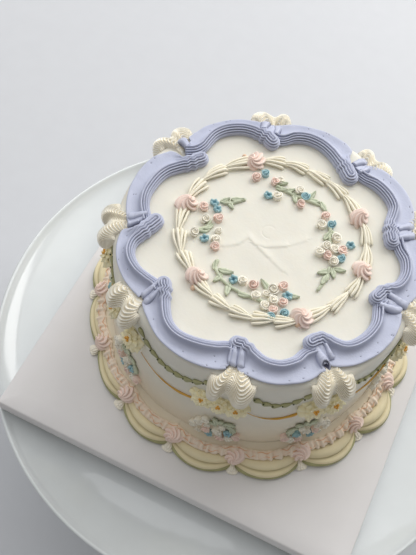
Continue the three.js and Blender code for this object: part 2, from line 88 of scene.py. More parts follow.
# Folds at each cusp: [inner angle, inner radius, outer angle, outer radius, half width, whether
# it is rolled with an open mouth]
FOLDS = [
    [(33.3, 65.0, 36.0, 75.2, 1.9, False), (28.6, 64.0, 31.4, 73.8, 1.9, False)],
    [(72.0, 65.5, 70.9, 75.0, 2.2, False), (67.4, 64.0, 67.2, 71.5, 1.5, False)],
    [(117.2, 68.0, 115.4, 76.4, 2.4, False), (111.5, 65.0, 110.6, 72.4, 1.8, False)],
    [(154.0, 68.0, 152.4, 77.0, 2.2, False)],
    [(196.3, 63.0, 198.1, 72.2, 2.0, False), (201.0, 66.0, 201.6, 71.5, 1.3, False)],
    [(232.4, 62.0, 234.7, 72.0, 1.5, False), (235.9, 63.5, 237.7, 73.0, 1.5, False)],
    [(275.7, 62.8, 277.3, 71.2, 0.8, False), (277.2, 62.3, 278.9, 71.6, 1.65, False),
     (279.9, 62.0, 281.9, 71.4, 1.75, False)],
    [(312.7, 59.8, 313.9, 70.4, 2.35, True), (316.8, 61.0, 317.5, 68.6, 1.3, False)],
    [(350.8, 61.0, 354.4, 71.6, 2.0, False), (357.8, 62.5, 357.8, 73.2, 2.0, False)],
]
# Radius of the lip at a cusp, start of the cove beside the crest, and the ridges' ripple
LIP_AT_CUSP = 71.0
CREST_EDGE = 0.5
RIPPLE_LENGTH = 4.2
# Side of each pair of shells whose upper corner flares out: 1 right, -1 left, seen from outside
FLARES = [1, -1, 1, -1, 1, 1, 1, -1, 1]

SWAG_COUNT = 16
SWAG_START = 198.0
SWAG_REACH = 94.0
WREATH_ROSETTES = [
    (6.9, 46.7), (44.9, 48.2), (123.1, 48.6), (181.1, 46.7), (236.8, 43.7), (312.7, 44.1),
]
# The sprays were measured in a frame turned by this angle about the cake's axis
SPRAY_TURN = 4.44


# Shapes as arrays of points

def polar(angle, radius, z=0.0):
    a = np.radians(angle)
    return np.stack(np.broadcast_arrays(radius * np.cos(a), radius * np.sin(a), z), -1)


def smooth(a, b, x):
    t = np.clip((np.asarray(x, float) - a) / (b - a), 0, 1)
    return t * t * (3 - 2 * t)


def mix(a, b, t):
    return a + (b - a) * t


def bump(x, centre, width):
    return np.exp(-(((x - centre) / width) ** 2))


def unit(v):
    return v / np.maximum(np.linalg.norm(v, axis=-1, keepdims=True), 1e-9)


def ridged(phase, sharp=0.6):
    """Round ridges with sharp valleys, from -0.5 to 0.5, one for each whole phase."""
    return np.abs(np.sin(math.pi * phase)) ** sharp - 0.5


def distances(points):
    """Length along a line of points, at each of them."""
    return np.concatenate([[0], np.cumsum(np.linalg.norm(np.diff(points, axis=0), axis=1))])


def evenly(points, count):
    """Points spaced evenly along a line through the given ones."""
    points = np.array(points, float)
    run = distances(points)
    s = np.linspace(0, run[-1], count)
    return np.stack([np.interp(s, run, column) for column in points.T], -1)


def curve(controls, step):
    """Points about step apart along a centripetal Catmull-Rom curve, and their distances."""
    p = np.array(controls, float)
    p = np.vstack([2 * p[0] - p[1], p, 2 * p[-1] - p[-2]])
    dense = []
    for i in range(1, len(p) - 2):
        q = p[i - 1:i + 3]
        knots = np.concatenate([[0], np.cumsum(np.linalg.norm(np.diff(q, axis=0), axis=1) ** 0.5)])
        t = np.linspace(knots[1], knots[2], 40, endpoint=False)[:, None]

        def blend(a, b, ta, tb):
            return ((tb - t) * a + (t - ta) * b) / (tb - ta)

        a = [blend(q[n], q[n + 1], knots[n], knots[n + 1]) for n in range(3)]
        b = [blend(a[n], a[n + 1], knots[n], knots[n + 2]) for n in range(2)]
        dense.append(blend(b[0], b[1], knots[1], knots[2]))
    dense = np.vstack([*dense, p[-2:-1]])
    length = distances(dense)[-1]
    count = max(3, int(length / step) + 1)
    return evenly(dense, count), np.linspace(0, length, count)


def wobble(points, size, scale, seed=0.0):
    """Smooth pseudo-random number for each point, from about -size to size."""
    x, y, z = (points[..., n] / scale for n in range(3))
    return size * (np.sin(1.7 * x + 2.3 * y + seed) * np.cos(1.3 * y - 1.9 * z + 2 * seed)
                   + np.sin(2.9 * z + 1.1 * x - seed) * np.cos(2.1 * x - 0.7 * y + seed)) / 2


class Soup:
    """Closed skins gathered into one mesh, each with a material and tones from 0 to 1."""

    def __init__(self):
        self.skins = []

    def skin(self, grid, material=0, tone=0.0, mirror=None):
        """Closed skin through rings of points (ring, point in ring, xyz), fans at both ends.

        Where mirror gives each point's partner, the first ring is closed by joining them.
        """
        n, m = grid.shape[:2]
        ids = np.arange(n * m).reshape(n, m)
        if mirror is not None:
            ids[0] = np.minimum(ids[0], mirror)
        after = np.roll(ids, -1, axis=1)
        quads = np.stack([ids[:-1], after[:-1], after[1:], ids[1:]], -1).reshape(-1, 4)
        hubs = [n * m, n * m + 1]
        first = np.stack([np.full(m, hubs[0]), after[0], ids[0]], -1)
        last = np.stack([np.full(m, hubs[1]), ids[-1], after[-1]], -1)
        if mirror is not None:
            first = first[:0]
        points = np.vstack([grid.reshape(-1, 3), grid[0].mean(0), grid[-1].mean(0)])
        tones = np.broadcast_to(tone, (n, m))
        tones = np.concatenate([tones.ravel(), [tones[0].mean()], [tones[-1].mean()]])
        self.add(points, quads, np.vstack([first, last]), material, tones)

    def add(self, points, quads, tris, material, tones):
        """Keep one closed skin, with its faces turned outward."""
        a, b, c, d = (points[quads[:, n]] for n in range(4))
        e, f, g = (points[tris[:, n]] for n in range(3))
        volume = (np.einsum("ij,ij->", a, np.cross(b, c)) + np.einsum("ij,ij->", a, np.cross(c, d))
                  + np.einsum("ij,ij->", e, np.cross(f, g)))
        if volume < 0:
            quads, tris = quads[:, ::-1], tris[:, ::-1]
        self.skins.append((points, quads, tris, material, tones))

    def slab(self, top, bottom, material=0, tone=0.0):
        """Thin closed piece between two sheets of points (row, column, xyz)."""
        tones = np.broadcast_to(tone, top.shape[:2])
        self.skin(np.concatenate([top, bottom[:, ::-1]], 1), material,
                  np.concatenate([tones, tones[:, ::-1]], 1))

    def stamp(self, other, turn, at, slot=None):
        """Copy of another soup, turned by the columns of turn and moved, all in slot if given."""
        for points, quads, tris, material, tones in other.skins:
            self.add(points @ turn.T + at, quads, tris, material if slot is None else slot, tones)

    def piece(self, name, materials, nodes, in_cake=True):
        """Blender mesh object in the part's frame, riding on the body in place of the nodes."""
        starts = np.cumsum([0] + [len(skin[0]) for skin in self.skins])
        points, tones = (np.concatenate([skin[n] for skin in self.skins]) for n in (0, 4))
        quads, tris = (np.vstack([skin[n] + start for skin, start in zip(self.skins, starts)])
                       for n in (1, 2))
        mats = np.concatenate([np.full(len(skin[n]), skin[3]) for n in (1, 2) for skin in self.skins])
        points = (points + CAKE_AT if in_cake else points) * MM
        used = np.zeros(len(points), bool)
        used[quads] = True
        used[tris] = True
        renumbered = np.cumsum(used) - 1
        points, quads, tris = points[used], renumbered[quads], renumbered[tris]
        corners = np.concatenate([quads.ravel(), tris.ravel()])
        sizes = np.concatenate([np.full(len(quads), 4), np.full(len(tris), 3)])
        data = bpy.data.meshes.new(name)
        data.vertices.add(len(points))
        data.loops.add(len(corners))
        data.polygons.add(len(sizes))
        data.vertices.foreach_set("co", points.astype(np.float32).ravel())
        data.loops.foreach_set("vertex_index", corners.astype(np.int32))
        first_corners = np.cumsum(sizes) - sizes
        data.polygons.foreach_set("loop_start", first_corners.astype(np.int32))
        data.polygons.foreach_set("loop_total", sizes.astype(np.int32))
        data.polygons.foreach_set("material_index", mats.astype(np.int32))
        data.polygons.foreach_set("use_smooth", np.ones(len(sizes), bool))
        data.update(calc_edges=True)
        data.validate()
        tone = data.attributes.new("tone", "FLOAT", "POINT")
        tone.data.foreach_set("value", tones[used].astype(np.float32))
        for material in materials:
            data.materials.append(material)
        made = bpy.data.objects.new(name, data)
        bpy.context.scene.collection.objects.link(made)
        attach(made, "root")
        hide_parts(*nodes)


def basis(axis, turn=0.0):
    """Matrix whose columns are two directions square to axis, turned about it, and axis."""
    axis = unit(np.asarray(axis, float))
    helper = np.array([1.0, 0, 0]) if abs(axis[2]) > 0.9 else np.array([0, 0, 1.0])
    across = unit(np.cross(helper, axis))
    up = np.cross(axis, across)
    c, s = math.cos(turn), math.sin(turn)
    return np.stack([across * c + up * s, up * c - across * s, axis], 1)


def tube(path, radii, sides=10, flat=1.0):
    """Rings of a tube along a path that doesn't stand upright; flat squashes it from above."""
    radii = np.broadcast_to(radii, (len(path),))
    along = unit(np.gradient(path, axis=0))
    across = unit(np.cross(along, [0, 0, 1.0]))
    rise = np.cross(across, along)
    turn = np.linspace(0, 2 * math.pi, sides, endpoint=False)
    return (path[:, None] + across[:, None] * (radii[:, None] * np.cos(turn))[..., None]
            + rise[:, None] * (flat * radii[:, None] * np.sin(turn))[..., None])


def rounded(t, lead, tail):
    """Width of a stroke along t: round at the start over lead, tapered to the end over tail."""
    head = np.sqrt(np.clip(1 - (1 - np.clip(t / lead, 0, 1)) ** 2, 0, 1))
    end = np.clip((1 - t) / tail, 0, 1) ** 0.8
    return np.maximum(head * end, 0.02)


# Materials

def srgb(colour):
    return [((v / 255 + 0.055) / 1.055) ** 2.4 if v > 10 else v / 255 / 12.92 for v in colour] + [1.0]


def surface(name, colour, deep, rough=0.5, soft=0.12, grain=0.25, patch=0.05, grain_size=0.9,
            coat=0.0):
    """Icing, card or glaze: colour in the open, deep where the tone is 1, fine uneven grain. The tone
    mostly paints shade into grooves, hollows and undersides, and in a few places gives the icing a
    deeper colour of its own.
    """
    material = bpy.data.materials.new(name)
    material.use_nodes = True
    nodes = material.node_tree.nodes
    shader = nodes["Principled BSDF"]

    def add(kind, **values):
        made = nodes.new("ShaderNode" + kind)
        for socket, value in values.items():
            made.inputs[socket.replace("_", " ")].default_value = value
        return made

    def link(source, output, target, socket):
        material.node_tree.links.new(source.outputs[output], target.inputs[socket])

    place = add("TexCoord")
    tone = add("Attribute")
    tone.attribute_name = "tone"
    blend = add("Mix")
    blend.data_type = "RGBA"
    blend.inputs["A"].default_value = srgb(colour)
    blend.inputs["B"].default_value = srgb(deep)
    cloud = add("TexNoise", Scale=70, Detail=3)
    spread = add("MapRange", From_Min=0.3, From_Max=0.7, To_Min=1 - patch, To_Max=1 + patch)
    shade = add("HueSaturation")
    fine = add("TexNoise", Scale=1000 / grain_size, Detail=4)
    relief = add("Bump", Strength=grain, Distance=0.0003)
    gloss = add("MapRange", To_Min=rough - 0.06, To_Max=rough + 0.08)
    link(tone, "Fac", blend, "Factor")
    link(place, "Object", cloud, "Vector")
    link(cloud, "Fac", spread, "Value")
    link(spread, "Result", shade, "Value")
    link(blend, "Result", shade, "Color")
    link(shade, "Color", shader, "Base Color")
    link(place, "Object", fine, "Vector")
    link(fine, "Fac", relief, "Height")
    link(relief, "Normal", shader, "Normal")
    link(fine, "Fac", gloss, "Value")
    link(gloss, "Result", shader, "Roughness")
    constants = {
        "Subsurface Weight": soft, "Subsurface Radius": (1.0, 0.8, 0.6),
        "Subsurface Scale": 0.003, "Specular IOR Level": 0.4, "Coat Weight": coat,
        "Coat Roughness": 0.08,
    }
    for socket, value in constants.items():
        shader.inputs[socket].default_value = value
    return material


# The deep colours come in through the tone: mostly painted shade in grooves, hollows and undersides, in
# a few places a deeper colour of the icing itself.
IVORY = surface("ivory_icing", (232, 229, 217), (237, 223, 196), 0.5, 0.15, 0.18, 0.02, 1.6)
LAVENDER = surface("lavender_icing", (192, 197, 217), (66, 68, 96), 0.4, 0.03, 0.32, 0.04)
CREAM = surface("cream_icing", (250, 246, 233), (228, 215, 184), 0.32, 0.0, 0.2, 0.03)
STRAW = surface("straw_icing", (246, 240, 220), (218, 202, 156), 0.4, 0.0, 0.2, 0.05)
YOLK = surface("orange_centre", (236, 174, 76), (206, 132, 40), 0.45, 0.1, 0.3, 0.12)
YELLOW = surface("yellow_petal", (254, 246, 208), (244, 218, 150), 0.42, 0.0, 0.2, 0.05)
SAGE = surface("sage_leaf", (203, 209, 184), (152, 164, 134), 0.45, 0.0, 0.25, 0.08)
MOSS = surface("green_garland", (176, 174, 128), (80, 88, 50), 0.45, 0.0, 0.3, 0.08)
BLUE = surface("blue_flower", (168, 203, 209), (100, 148, 163), 0.4, 0.0, 0.25, 0.08)
PINK = surface("pink_flower", (248, 226, 214), (236, 192, 174), 0.4, 0.0, 0.25, 0.06)
PEACH = surface("peach_ruffle", (242, 226, 206), (230, 172, 122), 0.42, 0.0, 0.25, 0.08)
GOLD = surface("golden_string", (222, 172, 78), (176, 120, 30), 0.38, 0.1, 0.2, 0.1)
CELADON = surface("celadon_swag", (238, 226, 188), (176, 161, 112), 0.42, 0.0, 0.2, 0.05)
CARD = surface("white_card", (232, 230, 230), (190, 186, 182), 0.75, 0.0, 0.12, 0.012, 0.5)
GLAZE = surface("celadon_glaze", (227, 232, 233), (204, 212, 212), 0.12, 0.0, 0.02, 0.015,
                30, 1.0)


# Stand, board and iced body

def lathe(profile, sides):
    """Rings of a surface of revolution, one ring for each [radius, height] of the profile."""
    profile = np.array(profile, float)
    turn = np.linspace(0, 2 * math.pi, sides, endpoint=False)
    x, y = profile[:, :1] * np.cos(turn), profile[:, :1] * np.sin(turn)
    return np.stack([x, y, np.repeat(profile[:, 1:], sides, 1)], -1)


def eased(profile, step=1.5, corner=3):
    """Profile with its corners rounded by a moving average of evenly spaced points."""
    q = evenly(profile, int(distances(np.array(profile, float))[-1] / step) + 1)
    padded = np.vstack([np.repeat(q[:1], corner, 0), q, np.repeat(q[-1:], corner, 0)])
    width = 2 * corner + 1
    return np.stack([np.convolve(padded[:, n], np.ones(width) / width, "valid") for n in (0, 1)], -1)


def make_stand():
    foot, rim_height, well, edge = 65.7, 92.0, 83.0, 143.35
    below = eased([[0.5, 0.4], [40, 0.4], [foot - 0.5, 0.4], [foot, 2.6], [58, 5.4], [43.6, 9.4],
                   [31, 18], [25.8, 26.5], [23, 43], [25.5, 55], [34.5, 65.5], [46, 72.5],
                   [59.8, 77.6], [90, 78.4], [116, 79.6], [133, 85.6], [141.4, 89.4]])
    rim = [[edge - 0.45, 90.2], [edge, 90.9], [edge, 91.4], [edge - 0.45, 91.85],
           [142.2, rim_height], [141.5, 91.7], [140.9, 91.0]]
    inside = eased([[140.2, 90.0], [136, 87.8], [128, 85.6], [117, 83.3], [100, well],
                    [60, well], [0.5, well]])
    soup = Soup()
    soup.skin(lathe([[0.5, 0.0], [60, 0.0], *below[2:], *rim, *inside], 160))
    soup.piece("glazed_stand", [GLAZE], ["stand"], in_cake=False)


def make_board():
    """Square card with softly rounded edges, as rings of one outline drawn in towards its middle."""
    side, thick, corner, at = 201.6, 9.5, 1.2, (-2.0, 1.5, 92.3)
    half = side / 2 - corner
    corners = []
    for n in range(4):
        middle = np.array([half if n in (0, 3) else -half, half if n in (0, 1) else -half])
        for turn in np.radians(np.linspace(90 * n, 90 * n + 90, 7)):
            corners.append(middle + corner * np.array([math.cos(turn), math.sin(turn)]))
    outline = []
    for a, b in zip(corners, corners[1:] + corners[:1]):
        count = 24 if np.linalg.norm(b - a) > 10 else 1
        outline += [mix(a, b, t) for t in np.linspace(0, 1, count, endpoint=False)]
    sizes = [(0.02, 0.0), (0.992, 0.0), (0.9985, 0.25), (1.0, 0.8), (1.0, thick - 0.9),
             (0.998, thick - 0.25), (0.993, thick)]
    sizes += [(shrink, thick) for shrink in (0.9, 0.75, 0.5, 0.25, 0.02)]
    grid = np.array([[[*(p * size), z] for p in outline] for size, z in sizes]) + np.array(at)
    soup = Soup()
    soup.skin(grid)
    soup.piece("white_board", [CARD], ["board"], in_cake=False)


def top_relief(x, y):
    """Height of the spatula's marks on top of the cake."""
    lines = [((-19.8, -13.4), (-14.2, -8.9), 0.3), ((-14.2, -8.9), (-11.2, -2.6), 0.36),
             ((-11.2, -2.6), (-6.6, -5.0), 0.4), ((-6.6, -5.0), (-1.6, -4.2), 0.4),
             ((-1.6, -4.2), (7.6, 1.6), 0.36), ((7.6, 1.6), (15.1, 9.4), 0.2),
             ((-4.5, -5.8), (2.2, -8.6), 0.36), ((2.2, -8.6), (11.7, -12.4), 0.22)]
    total = np.zeros(np.broadcast(x, y).shape)
    for (ax, ay), (bx, by), high in lines:
        length2 = (bx - ax) ** 2 + (by - ay) ** 2
        t = np.clip(((x - ax) * (bx - ax) + (y - ay) * (by - ay)) / length2, 0, 1)
        off = ((x - ax) * (by - ay) - (y - ay) * (bx - ax)) / math.sqrt(length2)
        away = np.hypot(x - ax - t * (bx - ax), y - ay - t * (by - ay))
        side = np.where(off > 0, 0.8, 2.4)
        total = np.maximum(total, high * np.exp(-((away / side) ** 2)))
    ring = np.abs(np.hypot(x + 3.2, y - 4.8) - 3.7)
    return total - 0.1 * np.exp(-((ring / 0.35) ** 2)) * (x < -1.5)


GREEN_SLOT, GOLD_SLOT = 1, 2


def make_cake():
    rings = [[0.5, 0.35], [40, 0.35], [WALL - 0.4, 0.35]]
    rings += [[WALL, z] for z in np.linspace(1.0, TOP - EDGE, 60)]
    rings += [[WALL - EDGE * (1 - math.cos(a)), TOP - EDGE * (1 - math.sin(a))]
              for a in np.linspace(0.15, math.pi / 2, 10)]
    rings += [[r, TOP] for r in np.concatenate([np.linspace(73, 32, 28), np.linspace(31.4, 0.4, 68)])]
    grid = lathe(rings, 300)
    radius = np.hypot(grid[..., 0], grid[..., 1])
    angle = np.arctan2(grid[..., 1], grid[..., 0])
    z = grid[..., 2]
    on_wall = smooth(0.5, 6, z) * smooth(TOP, TOP - 6, z) * (radius > 70)
    swell = -0.14 + 0.1 * np.sin(3 * angle + 0.05 * z) + 0.06 * np.sin(0.35 * z + 2 * angle)
    grid[..., :2] *= (1 + on_wall * swell / WALL)[..., None]
    flat = (radius < 72) & (z > TOP - 1)
    grid[..., 2] += np.where(flat, top_relief(grid[..., 0], grid[..., 1])
                             + wobble(grid, 0.1, 9.0) * smooth(72, 66, radius), 0)
    soup = Soup()
    soup.skin(grid, 0, 0.8 * (radius > 70) * smooth(62, 8, z))
    garland(soup)
    strings(soup)
    soup.piece("iced_body", [IVORY, MOSS, GOLD], ["cake"])


def next_fold(k):
    return CUSPS[(k + 1) % 9][0] + (0 if k + 1 < 9 else 360)


def garland(soup):
    """Low green beads sagging between the cusps, with a small ball painted dark as shade in the gap
    between each two.
    """
    high, sag, pitch, gap = 78.6, 12.5, 4.9, 5.5
    for k in range(9):
        a, b = CUSPS[k][0] + gap, next_fold(k) - gap
        length = math.radians(b - a) * WALL
        count = round(length / pitch)
        for n in range(count):
            t = (n + 0.5) / count
            z = high - sag * (1 - (2 * t - 1) ** 2) + rng.uniform(-0.3, 0.3)
            slope = math.atan2(sag * 4 * (2 * t - 1), length)
            bead(soup, mix(a, b, t), z, slope)
            # Small ball in the gap after each bead, painted dark as shade.
            t = (n + 1) / count
            z = high - sag * (1 - (2 * t - 1) ** 2) + rng.uniform(0.2, 1.0)
            ball(soup, 0.5, 0.5, GREEN_SLOT, 1.0, 6, polar(mix(a, b, t), WALL + 1.15, z))


def bead(soup, angle, z, slope):
    """Teardrop bead on the wall: round head, tapered tail, one groove along it."""
    half_length, half_height, proud = 3.3, 2.1, 1.4
    t = np.linspace(0, 1, 11)
    turn = np.linspace(0, 2 * math.pi, 14, endpoint=False)
    wide = rounded(t, 0.4, 0.75)[:, None]
    along = mix(-half_length, half_length, t)[:, None] + 0 * turn
    side = half_height * wide * np.cos(turn)
    groove = bump(np.cos(turn), 0.1, 0.25) * (np.sin(turn) > 0)
    out = proud * wide * (np.sin(turn) - 0.25 * groove) + 0.2
    c, s = math.cos(slope), math.sin(slope)
    across, rise = along * c - side * s, along * s + side * c
    grid = polar(angle + np.degrees(across / WALL), WALL + out, z + rise)
    # Painted shade in the groove and on the half turned to the wall.
    tone = np.maximum(0.4 * groove + 0 * wide, 0.5 * smooth(0.35, -0.2, np.sin(turn) + 0 * wide))
    soup.skin(grid, GREEN_SLOT, tone)


def strings(soup):
    """Golden strings that sag between the groups of blossoms and thicken towards one end."""
    high, sag, drop, thin, thick = 55.0, 6.0, 1.5, 0.16, 0.68
    for k in range(9):
        a, b = CUSPS[k][0] + 7.5, next_fold(k) - 8.0
        t = np.linspace(0, 1, 40)
        z = high - sag * (1 - (2 * t - 1) ** 2) - drop * t
        radius = mix(thin, thick, smooth(0.1, 0.95, t)) * np.clip((1 - t) * 30, 0.4, 1)
        radius = radius * (1 + 0.12 * np.sin(23 * t + k))
        soup.skin(tube(polar(mix(a, b, t), WALL + 0.3, z), radius, 8), GOLD_SLOT)


# Scalloped border

# Points from the foot to the crest of a section and under it, and rings in a bulb's round end
HALF = 41
UNDER = 5
CAP = 10
# Ridges on each side of the crest, their height, and the share below them that is bare
RIDGES = 4.5
RIDGE_HEIGHT = 1.3
BARE = 0.2
LIP_REACH = 7.7


def dome_section(width, height):
    """Section of a bulb as [outward, up], from its inner foot over the top to its outer foot."""
    turn = np.radians(np.linspace(0, 90, 60))
    side = np.stack([-width * np.cos(turn) ** 0.8, height * np.sin(turn) ** 0.85], -1)
    side = evenly(side, HALF)
    return np.vstack([side, side[-2::-1] * [-1, 1]])


def open_section():
    """Section of the open border: a ridged face, a drop into the cove, then the broad lip."""
    turn = np.radians(np.linspace(0, 90, 60))
    face = np.stack([CREST_EDGE - 3.9 * np.cos(turn), 4.9 * np.sin(turn) ** 0.9], -1)
    cove = [[CREST_EDGE, 4.9], [0.95, 4.5], [1.15, 3.7], [1.4, 2.9], [1.8, 2.15], [2.4, 1.7],
            [3.2, 1.55], [4.2, 1.6], [5.2, 1.75], [6.1, 1.95], [6.9, 2.1], [7.4, 2.1], [7.7, 1.9],
            [7.75, 1.55], [7.5, 1.1], [6.8, 0.5], [5.6, -0.1], [4.6, -0.4]]
    return np.vstack([evenly(face, HALF), evenly(cove, HALF)[1:]])


def section_normals(outline):
    """Outward normals of a closed outline that runs clockwise from its inner foot."""
    along = unit(np.roll(outline, -1, -2) - np.roll(outline, 1, -2))
    return np.stack([-along[..., 1], along[..., 0]], -1)


def lip_radius(k, angle):
    """Radius of the scalloped outer edge of lobe k."""
    share = np.clip((angle - CUSPS[k][0]) / (next_fold(k) - CUSPS[k][0]), 0, 1)
    return LIP_AT_CUSP + (CUSPS[k][1] - LIP_AT_CUSP) * np.sin(math.pi * share) ** 0.7


def make_lobe(k):
    fold, lip, bulb_length, bulb_size, ripple = CUSPS[k]
    path, s = curve([polar(angle, radius) for angle, radius in ROUTES[k]], 0.4)
    length = s[-1]
    angle = np.degrees(np.arctan2(path[:, 1], path[:, 0]))
    angle = fold - 30 + (angle - fold + 30) % 360
    along = unit(np.gradient(path, axis=0))
    across = np.stack([along[:, 1], -along[:, 0], 0 * s], -1)
    reach = np.clip(lip_radius(k, angle) - np.hypot(path[:, 0], path[:, 1]), 4.5, 10.5)
    wave = ripple * np.sin(2 * math.pi * s / RIPPLE_LENGTH + 1.3 * k)
    wave = wave * bump(s, bulb_length * 0.62, 3.6) * smooth(1.0, 3.0, s)
    path = path + across * wave[:, None]

    def capped(values):
        return np.concatenate([np.repeat(values[:1], CAP, 0), values])

    path, along, across, s, reach = (capped(v) for v in (path, along, across, s, reach))
    quarter = np.linspace(math.pi / 2, 0, CAP, endpoint=False)
    turned = np.concatenate([quarter, np.zeros(len(s) - CAP)])
    opened = smooth(bulb_length - 3.5, bulb_length + 3.5, s)[:, None]
    size = mix(bulb_size, 1, opened)
    bulb, border = dome_section(3.55, 5.75), open_section()
    out = mix(bulb[:, 0] * bulb_size, border[:, 0], opened)
    stretch = (reach[:, None] - CREST_EDGE) / (LIP_REACH - CREST_EDGE)
    in_cove = np.arange(2 * HALF - 1) >= HALF
    stretched = CREST_EDGE + (out - CREST_EDGE) * mix(1, stretch, opened)
    out = np.where(in_cove & (out > CREST_EDGE), stretched, out)
    up = mix(bulb[:, 1], border[:, 1], opened) + 0 * size
    lowered = 0.1 if k == 2 else 0.3
    up = np.where(in_cove, up, up * (1 - lowered * smooth(length - 15, length - 4, s))[:, None])
    step = np.linspace(0, 1, UNDER + 2)[1:-1]
    out = np.hstack([out, mix(out[:, -1:], out[:, :1], step)])
    up = np.hstack([up, -0.4 + 0 * step + 0 * size])
    outline = np.stack([out, up], -1)

    j = np.arange(2 * HALF - 1)
    q = 1 - np.abs(j - (HALF - 1)) / (HALF - 1)
    lines = ridged(RIDGES * np.clip((q - BARE) / (1 - BARE), 0, 1), 0.85)
    lines = lines * smooth(BARE - 0.05, BARE + 0.05, q)
    held = np.where(j < HALF, 1.0, np.maximum(1 - opened, smooth(0.93, 1.0, q)))
    under = np.zeros((len(s), UNDER))
    relief = np.hstack([lines * held * RIDGE_HEIGHT, under])
    outline = outline + section_normals(outline) * relief[..., None]
    # Painted shade in the grooves between the ridges.
    shade = np.clip((0.08 - lines) * 2.3, 0, 1) * held * 0.9 * (q > BARE)
    tone = np.hstack([shade, under])
    # Painted shade in the cove just outside the crest.
    drop = bump(j - HALF, 5, 5) * (j >= HALF) * opened * 0.1
    tone[:, :len(j)] = np.maximum(tone[:, :len(j)], drop)

    out, up = outline[..., 0], outline[..., 1]
    lip_part = np.concatenate([bump(j, 2 * HALF - 15, 7) * (j >= HALF), np.zeros(UNDER)]) * opened
    out = out + wobble(path, 0.28, 5.0, k)[:, None] * lip_part
    up = up + wobble(path, 0.2, 3.3, k + 2)[:, None] * lip_part
    # Small dents in the lip, each painted dark as the shade inside it.
    holes = random.Random(100 + k)
    for _ in range(5):
        row = holes.randrange(int(0.35 * len(s)), int(0.85 * len(s)))
        col = HALF + holes.choice([12, 15, 18, 22, 24])
        up[row, col] -= 0.45
        tone[row, col] = 1.3
    bent = np.cos(turned)[:, None] * out
    back = np.sin(turned)[:, None] * np.abs(out)
    grid = path[:, None] + across[:, None] * bent[..., None] - along[:, None] * back[..., None]
    grid[..., 2] = TOP + 0.25 + up
    mirror = np.concatenate([j[::-1], 2 * HALF - 1 + np.arange(UNDER)[::-1]])
    soup = Soup()
    soup.skin(grid, 0, np.clip(tone, 0, 1), mirror)
    folds(soup, (k + 1) % 9)
    soup.piece(f"lavender_lobe_{k + 1}", [LAVENDER], [f"border_lobe_{k + 1}"])


def folds(soup, cusp):
    """Soft flat pleats from under a bulb down to the lip, some rolled with an open mouth."""
    group = FOLDS[cusp]
    first, last = group[0], group[-1]
    middle = [(first[n] + last[n]) / 2 for n in range(4)]
    apart = abs(first[2] - last[2]) / 2 * math.radians(middle[3])
    if len(group) > 1:
        pleat(soup, middle[0], middle[1], middle[2], middle[3] - 1.0, apart + 0.5, -0.2, cusp)
    for angle_in, r_in, angle_out, r_out, half, hollow in group:
        if hollow:
            roll(soup, angle_in, r_in, angle_out, r_out, half, cusp)
        else:
            pleat(soup, angle_in, r_in, angle_out, r_out, half * 1.18, 1.0, cusp)


def pleat(soup, angle_in, r_in, angle_out, r_out, half, high, seed):
    """Low round pleat over the cove and the lip, bent down past the lip's edge."""
    t = np.linspace(0, 1, 40)[:, None]
    w = np.linspace(-1, 1, 21)
    r = mix(r_in, r_out, t)
    base = np.interp(r, [62.0, 66.0, 68.5, 71.0, 73.5, 77.0], [4.0, 3.6, 2.7, 2.2, 1.3, -0.6])
    base = np.maximum(base, mix(4.1, 2.0, t) - 2.4 * smooth(0.55, 1.0, t))
    crown = (1 - np.abs(w) ** 2.6) ** 0.7
    end = np.sqrt(np.clip(1 - (np.clip(t - 0.86, 0, 1) / 0.14) ** 2, 0.03, 1))
    rise = (high + 1.3) * crown * mix(0.55, 1, end) - 1.2
    side = w * half * mix(0.72, 1.08, smooth(0, 0.8, t)) * mix(0.5, 1, end)
    side = side + 0.18 * np.sin(6 * t + seed)
    angle = mix(angle_in, angle_out, t) + np.degrees(side / r)
    top = polar(angle, r, TOP + 0.25 + base + rise)
    bottom = polar(angle, r - 0.3, TOP + 0.25 + base - 1.5)
    # Painted shade along the pleat's sides, where it meets the lip.
    tone = 0.75 * np.abs(w) ** 5 + 0 * t
    soup.slab(top, bottom, 0, tone)


def roll(soup, angle_in, r_in, angle_out, r_out, radius, seed):
    """Rolled fold whose open mouth looks outward, with the roll's inner edge showing in it."""
    sides = 24
    t = np.linspace(0, 1, 34)
    z = TOP + 0.25 + mix(4.9, 4.6, smooth(0.0, 0.8, t)) - radius
    wide = radius * mix(0.6, 1.05, smooth(0, 0.7, t)) * (1 + 0.04 * np.sin(9 * t + seed))
    path = polar(mix(angle_in, angle_out, t), mix(r_in, r_out, t), z)
    grid = tube(path, wide, sides)
    axis = unit(path[-1] - path[-3])
    turn = np.linspace(0, 2 * math.pi, sides, endpoint=False)
    slant = -1.15 * radius * np.sin(turn)[None, :, None] * axis
    grid = grid + slant * smooth(0.55, 1.0, t)[:, None, None]
    mouth = grid[-1:]
    centre = mouth.mean(1, keepdims=True)
    steps = [(0.99, 0.25), (0.9, 0.4), (0.78, 0.2), (0.72, -0.5), (0.66, -1.7), (0.56, -3.2)]
    extra = [centre + (mouth - centre) * w + axis * d for w, d in steps]
    # Painted shade deep in the open mouth and on the roll's underside.
    tone = np.zeros(len(grid))
    tone = np.concatenate([tone, [0, 0, 0.25, 0.95, 1.0, 1.0]])[:, None] + np.zeros(sides)
    tone = np.maximum(tone, 0.6 * smooth(-0.2, -0.8, np.sin(turn)))
    soup.skin(np.concatenate([grid, *extra]), 0, tone)
    # Inner edge of the roll, painted darker the further in it lies, as shade.
    inner = tube(path[-12:] - axis * 0.9, 0.36 * radius, 12)
    soup.skin(inner, 0, np.linspace(1.0, 0.1, 12)[:, None] + np.zeros(12))


# Shells over the edge

